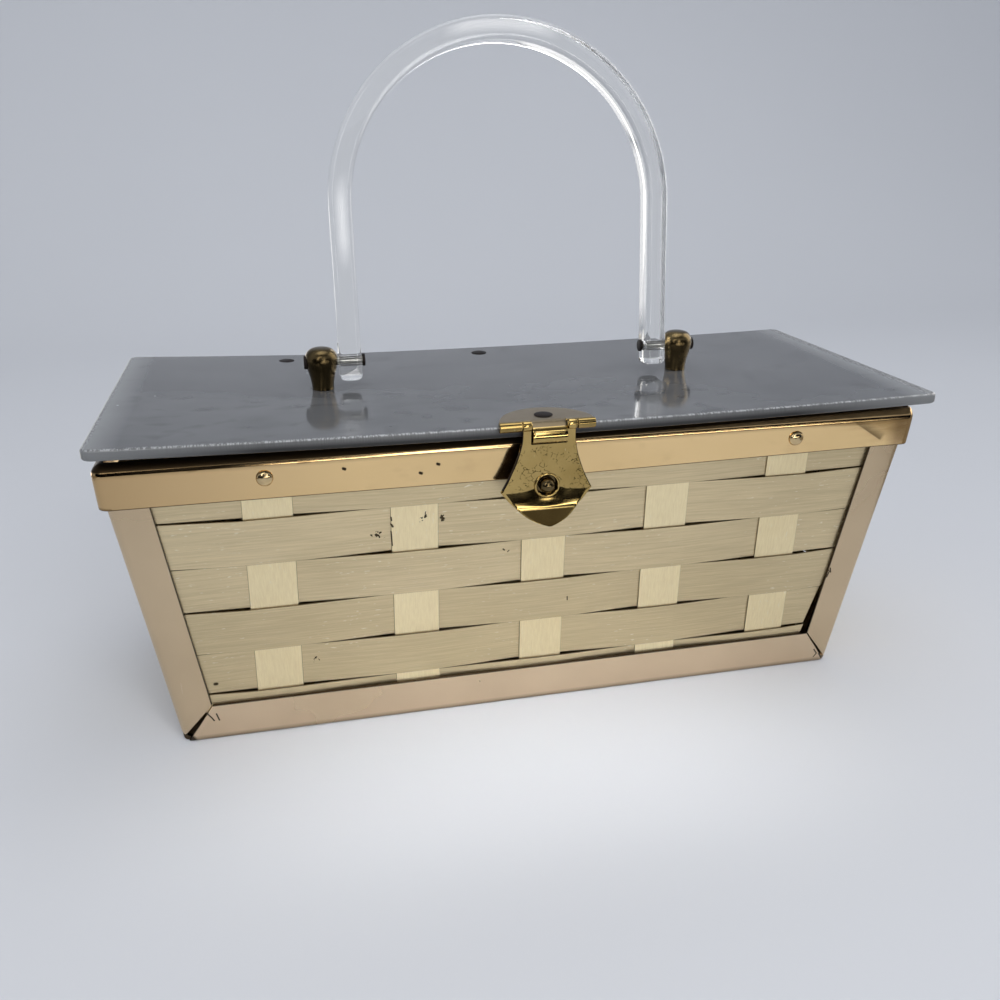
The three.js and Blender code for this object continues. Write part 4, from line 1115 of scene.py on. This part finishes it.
addPiece("handle", bowMesh(), "handle", "clear_acrylic", clearBow, smooth=30)
print("knobs and bow handle")


# clasp plate, hasp and its ball button
clasp = {"x": 0.6, "y": -51.9, "z": 98.4, "half": 13.3, "barrel": 1.45, "pin": 0.8, "thick": 1.4, "chord": -48.4,
         "back": -37.6, "notchLow": 4.9, "notchHigh": 7.9, "frontY": -50.7, "ease": 0.35, "seatGap": 0.15,
         "pinShort": 0.2, "knuckleOver": (0.8, -0.4), "tongueRoot": -49.4, "tongueEase": 0.15,
         "tongue": [(-47.0, 99.29), (-49.4, 99.28), (-50.6, 99.0), (-51.7, 98.45), (-52.6, 97.75), (-53.2, 97.0),
                    (-53.55, 96.0), (-53.65, 95.0), (-53.5, 94.25), (-53.05, 93.75), (-52.4, 93.55), (-51.7, 93.65),
                    (-51.2, 94.0)],
         "tongueBack": [(-50.7, 94.4), (-50.3, 95.2), (-50.3, 97.9), (-47.0, 97.95)]}
hasp = {"thick": 1.5, "armIn": 5.2, "armOut": 7.6, "windowLow": 93.0, "hole": 3.2, "holeZ": 80.4, "edge": 0.4,
        "across": 28, "dish": 0.12, "dishWidth": 1.3, "arch": 2.0, "archWidth": 5.0, "archZ": (74.0, 79.0, 85.0),
        "cutDepth": 5.0, "blackAbove": 79.5,
        "rowsBelow": [(69.5, 0.7, -54.81), (70.3, 3.3, -54.14), (71.4, 5.7, -53.22), (72.6, 7.5, -52.21),
                      (73.4, 8.45, -51.54), (73.9, 8.95, -51.24), (74.4, 9.42, -51.08), (75.4, 10.42, -50.887),
                      (76.0, 10.95, -50.797), (77.0, 11.8, -50.692), (78.8, 13.2, -50.55)],
        "rowsAbove": [(78.8, 13.2, -50.55), (81.0, 12.0, -50.65), (83.5, 10.8, -50.85), (86.5, 9.6, -51.25),
                      (89.5, 8.6, -51.55), (92.5, 7.9, -51.95), (95.0, 7.6, -52.15), (98.4, 7.6, -52.35)]}
eyelet = {"out": 0.12, "bead": 0.42, "y": -50.62, "turns": 64, "sides": 10}


def claspPlateMesh():
    c = clasp
    low = lidSize["middle"] + c["seatGap"]
    sagitta = c["back"] - c["chord"]
    radius = (c["half"] ** 2 + sagitta ** 2) / (2 * sagitta)
    centreY = c["back"] - radius
    start = math.atan2(c["chord"] - centreY, c["half"])
    outline = [(c["notchLow"], c["frontY"]), (c["half"], c["frontY"])]
    for k in range(41):
        angle = start + (math.pi - 2 * start) * k / 40
        outline.append((radius * math.cos(angle), centreY + radius * math.sin(angle)))
    outline += [(-c["half"], c["frontY"]), (-c["notchLow"], c["frontY"]),
                (-c["notchLow"], c["tongueRoot"]), (c["notchLow"], c["tongueRoot"])]
    plate = sweptRings("plate", [[(x, y, z) for x, y in outline] for z in (low, low + c["thick"])])
    plate = bevelled(plate, c["ease"], 3)
    parts = [plate]
    for side, over in zip((-1, 1), c["knuckleOver"]):
        parts.append(roundBar("pin", c["pin"], (side * c["notchLow"], c["y"], c["z"]),
                              (side * (c["half"] - c["pinShort"]), c["y"], c["z"])))
        reach = c["half"] + over
        parts.append(roundBar("knuckle", c["barrel"], (side * c["notchHigh"], c["y"], c["z"]),
                              (side * reach, c["y"], c["z"]), 0.2, 40))
    section = smoothCurve(c["tongue"], 4) + c["tongueBack"]
    steps = [c["notchLow"] * (k / 6 - 1) for k in range(13)]
    tongue = sweptRings("tongue", [[(x, y, z) for y, z in section] for x in steps])
    parts.append(bevelled(tongue, c["tongueEase"], 2))
    mesh = joinedMesh("claspPlate", parts)
    mesh.transform(Matrix.Translation((c["x"] * mm, 0, 0)))
    return mesh


def haspMesh():
    h = hasp
    rows = smoothCurve(h["rowsBelow"], 5)[:-1] + smoothCurve(h["rowsAbove"], 5)

    def frontAt(z):  # front face between the rows
        for (z0, _, y0), (z1, _, y1) in zip(rows, rows[1:]):
            if z <= z1:
                return y0 + (y1 - y0) * max(z - z0, 0) / (z1 - z0)
        return rows[-1][2]

    archLow, archPeak, archHigh = h["archZ"]
    rings = []
    for z, half, _ in rows:
        ring = []
        arch = h["arch"] * shareOf(z, archLow, archPeak) * shareOf(z, archHigh, archPeak)
        outline = roundedRing(max(half, 0.5), h["thick"] / 2, h["edge"], 0, 3)
        for i, corner in enumerate(outline):
            follow = outline[(i + 1) % len(outline)]
            steps = h["across"] if i in (3, 11) else 1  # the two broad sides
            for k in range(steps):
                px, py, _ = Vector(corner).lerp(Vector(follow), k / steps)
                away = math.hypot(px, z - h["holeZ"]) - h["hole"]
                dish = h["dish"] * math.exp(-(max(away, 0) / h["dishWidth"]) ** 2)
                y = frontAt(z - arch * math.exp(-(px / h["archWidth"]) ** 2))
                ring.append((px, y + h["thick"] / 2 + py + dish, z))
        rings.append(ring)
    shield = sweptRings("hasp", rings)
    near, far = clasp["y"] - h["cutDepth"], clasp["y"] + h["cutDepth"]
    window = plateMesh("window", (-h["armIn"], near, h["windowLow"]),
                       (h["armIn"], far, clasp["z"] + h["cutDepth"]), 0.3)
    hole = roundBar("hole", h["hole"], (0, near, h["holeZ"]), (0, far, h["holeZ"]), 0.1, 64)
    shield = carved(shield, [window, hole])
    for face in shield.polygons:  # painted shade: the back and the upper side edges take the dark finish
        side = abs(face.normal.x)
        if face.normal.y > 0.3 or (0.35 < side < 0.97 and face.center.z > h["blackAbove"] * mm):
            face.material_index = 1
    parts = [shield]
    for side in (-1, 1):
        parts.append(roundBar("knuckle", clasp["barrel"], (side * h["armIn"], clasp["y"], clasp["z"]),
                              (side * h["armOut"], clasp["y"], clasp["z"]), 0.2, 40))
    e = eyelet
    rings = []
    for k in range(e["turns"]):
        angle = 2 * math.pi * k / e["turns"]
        ring = []
        for j in range(e["sides"]):
            turn = 2 * math.pi * j / e["sides"]
            r = h["hole"] + e["out"] + e["bead"] * math.cos(turn)
            ring.append((r * math.cos(angle), e["y"] + e["bead"] * math.sin(turn), h["holeZ"] + r * math.sin(angle)))
        rings.append(ring)
    parts.append(sweptRings("eyelet", rings, closedPath=True))
    mesh = joinedMesh("hasp", parts)
    mesh.transform(Matrix.Translation((clasp["x"] * mm, 0, 0)))
    return mesh


button = {"disc": 4.2, "discThick": 0.65, "ball": 2.3, "ballRise": 0.94, "back": -48.9}


def snapCapMesh():
    s = button
    start = math.asin(-s["ballRise"] / s["ball"])
    profile = [(poleRadius, 0), (s["disc"], 0), (s["disc"], s["discThick"])]
    for k in range(20):
        angle = start + (math.pi / 2 - start) * k / 19
        profile.append((max(s["ball"] * math.cos(angle), poleRadius),
                        s["discThick"] + s["ballRise"] + s["ball"] * math.sin(angle)))
    mesh = spunMesh("snapCap", profile, 48)
    mesh.transform(Matrix.Translation(Vector((clasp["x"], s["back"], hasp["holeZ"])) * mm)
                   @ Matrix.Rotation(math.pi / 2, 4, "X"))
    return mesh


addPiece("clasp_plate", claspPlateMesh(), "lid", "brass", claspBrass)
seat = lidSize["middle"] + clasp["seatGap"] + clasp["thick"]
claspHead = setRivets([(rivets["claspX"], rivets["claspY"], seat + rivets["seatGap"])],
                      rivetShape("clasp", seat - rivets["claspTailZ"]), (0, 0, 0), darkHead)
addPiece("clasp_rivet", claspHead, "lid", "old_brass", darkHead)
# the hasp's second finish is painted shade on its back and upper edges
addPiece("hasp", haspMesh(), "hasp", "brass", claspBrass, darkHead)
addPiece("snap_cap", snapCapMesh(), "hasp", "old_brass", buttonBrass)
print("clasp, hasp and button")


# stage: seamless pale sweep, soft light, camera
stage = {"front": -2200.0, "bend": 520.0, "radius": 420.0, "top": 2400.0, "half": 2600.0,
         "paper": (0.64, 0.652, 0.678), "cloudDim": 0.98}


def sweepMesh():
    s = stage
    line = [(s["front"], 0), (0, 0), (s["bend"], 0)]
    for k in range(1, 17):
        angle = math.pi / 2 * k / 16
        line.append((s["bend"] + s["radius"] * math.sin(angle), s["radius"] * (1 - math.cos(angle))))
    line.append((s["bend"] + s["radius"], s["top"]))
    points = [(x, y, z) for y, z in line for x in (-s["half"], s["half"])]
    faces = [(2 * i, 2 * i + 1, 2 * i + 3, 2 * i + 2) for i in range(len(line) - 1)]
    return meshFrom("sweep", points, faces)


def paperFinish():
    material, add, feed = newFinish("palePaper")
    cloud = noiseOf(add, objectCoords(add, (2.5, 2.5, 2.5)), detail=2)
    dim = tuple(part * stage["cloudDim"] for part in stage["paper"])
    feed("Base Color", rampOf(add, cloud, [(0.3, dim), (0.7, stage["paper"])]))
    feed("Roughness", 0.85)
    feed("Specular IOR Level", 0.0)
    return material


sweep = bpy.data.objects.new("sweep", sweepMesh())
sweep.data.materials.append(paperFinish())
sweep.data.shade_smooth()
bpy.context.scene.collection.objects.link(sweep)

lights = [
    {"name": "overhead", "place": (0.05, -0.05, 1.5), "aim": (0.0, 0.0, 0.05), "size": (1.4, 0.9), "power": 7.0,
     "spread": 180, "mirrored": True},
    {"name": "nearFill", "place": (-0.01, -0.2, 0.33), "aim": (-0.005, -0.045, 0.0), "size": (0.15, 0.03),
     "power": 0.02, "spread": 25, "mirrored": False},
    {"name": "frontKey", "place": (0.1, -1.0, 0.75), "aim": (0.02, -0.1, 0.0), "size": (0.9, 0.35), "power": 1.75,
     "spread": 90, "mirrored": False},
]
for settings in lights:
    lamp = bpy.data.lights.new(settings["name"], "AREA")
    lamp.shape = "RECTANGLE"
    lamp.size, lamp.size_y = settings["size"]
    lamp.energy = settings["power"]
    lamp.spread = math.radians(settings["spread"])
    holder = bpy.data.objects.new(settings["name"], lamp)
    holder.location = settings["place"]
    holder.visible_glossy = settings["mirrored"]
    toward = Vector(settings["aim"]) - Vector(settings["place"])
    holder.rotation_euler = toward.to_track_quat("-Z", "Y").to_euler()
    bpy.context.scene.collection.objects.link(holder)

world = bpy.data.worlds.new("softRoom")
world.use_nodes = True
world.node_tree.nodes["Background"].inputs["Color"].default_value = (0.78, 0.82, 0.9, 1)
world.node_tree.nodes["Background"].inputs["Strength"].default_value = 0.6
bpy.context.scene.world = world

view = {"place": (-67.04, -287.98, 174.03), "yaw": 0.224, "pitch": -0.379, "focalPixels": 940.35}
camera = bpy.data.cameras.new("camera")
camera.sensor_width = 36
camera.lens = view["focalPixels"] * 36 / 1000
camera.clip_start = 0.01
camera.clip_end = 20
cameraObject = bpy.data.objects.new("camera", camera)
cameraObject.location = Vector(view["place"]) * mm
cameraObject.rotation_euler = (math.pi / 2 + view["pitch"], 0, -view["yaw"])
bpy.context.scene.collection.objects.link(cameraObject)
bpy.context.scene.camera = cameraObject
bpy.context.scene.view_settings.view_transform = "Standard"

# lamps and cards that only show in reflections and through the clear bow
ringLamp = {"outer": 132.0, "inner": 92.0, "sides": 72, "glow": 4.5, "back": -25.0, "rise": 9.0,
            "open": ((20, 90), (190, 262))}  # gaps in degrees
cards = [
    {"name": "dark_card", "glow": 0.0, "low": (-900, -345, 1), "high": (900, -345, 260)},
    {"name": "ceiling_card", "glow": 0.12, "low": (-420, -480, 600), "high": (420, -250, 720)},
    {"name": "right_floor", "glow": 0.3, "low": (229, -700, 1), "high": (900, 200, 1)},
    {"name": "left_floor", "glow": 0.3, "low": (-900, -700, 1), "high": (-330, 200, 1)},
    {"name": "near_glint", "glow": 6.5, "low": (-46, -330, 168), "high": (-6, -330, 228), "fade": (18, 0, 18)},
    {"name": "high_glint", "glow": 6.0, "low": (40, -330, 300), "high": (125, -330, 345), "fade": (18, 0, 18)},
    {"name": "low_strip", "glow": 6.0, "low": (-90, -320, 66), "high": (320, -320, 92), "fade": (90, 0, 6)},
    {"name": "back_glow", "glow": 2.4, "low": (-560, 150, 1), "high": (110, 520, 1), "fade": (0, 60, 0)},
    {"name": "back_lip", "glow": 2.4, "low": (-640, 521, 1), "high": (-115, 521, 150), "fade": (0, 0, 25)},
    {"name": "right_glow", "glow": 2.8, "low": (480, -100, 105), "high": (480, 330, 700), "through": "also"},
    {"name": "left_glow", "glow": 7.0, "low": (-500, -150, 105), "high": (-500, 150, 600), "through": "only"},
]


def glowFinish(name, strength, card):
    material, add, feed = newFinish(name)
    feed("Base Color", (0.0, 0.0, 0.0, 1))
    feed("Roughness", 1.0)
    feed("Specular IOR Level", 0.0)
    feed("Emission Color", (1, 0.95, 0.88, 1) if strength < 1 else (1, 0.98, 0.95, 1))
    if card and "fade" in card:  # soft edges
        place = placeOf(add)
        for axis in range(3):
            low, high, soft = card["low"][axis] * mm, card["high"][axis] * mm, card["fade"][axis] * mm
            if soft == 0:
                continue
            window = times(add, rangeOf(add, place[axis], low, low + soft),
                           rangeOf(add, place[axis], high, high - soft))
            strength = times(add, window, strength)
    feed("Emission Strength", strength)
    return material


def reflectOnly(name, mesh, strength, card=None):
    mesh.materials.append(glowFinish(name + "_face", strength, card))
    obj = bpy.data.objects.new(name, mesh)
    obj.visible_camera = obj.visible_diffuse = obj.visible_shadow = False
    through = card.get("through") if card else None
    obj.visible_transmission = bool(through)
    obj.visible_glossy = through != "only"
    bpy.context.scene.collection.objects.link(obj)


def cardMesh(card):
    (x0, y0, z0), (x1, y1, z1) = card["low"], card["high"]
    if x0 == x1:
        corners = [(x0, y0, z0), (x0, y1, z0), (x0, y1, z1), (x0, y0, z1)]
    else:
        corners = [(x0, y0, z0), (x1, y0, z0), (x1, y1, z1), (x0, y1, z1)]
    return meshFrom(card["name"], corners, [(0, 1, 2, 3)])


def ringMesh():
    points, faces = [], []
    count = ringLamp["sides"]
    for k in range(count):
        angle = 2 * math.pi * k / count
        for radius in (ringLamp["inner"], ringLamp["outer"]):
            points.append((radius * math.cos(angle), radius * math.sin(angle) + ringLamp["rise"], ringLamp["back"]))
        n = 2 * ((k + 1) % count)
        if not any(start < math.degrees(angle) < stop for start, stop in ringLamp["open"]):
            faces.append((2 * k, 2 * k + 1, n + 1, n))
    mesh = meshFrom("ringLamp", points, faces)
    mesh.transform(Matrix.Translation(cameraObject.location) @ cameraObject.rotation_euler.to_matrix().to_4x4())
    return mesh


reflectOnly("ring_lamp", ringMesh(), ringLamp["glow"])
for card in cards:
    reflectOnly(card["name"], cardMesh(card), card["glow"], card)

bpy.context.view_layer.update()
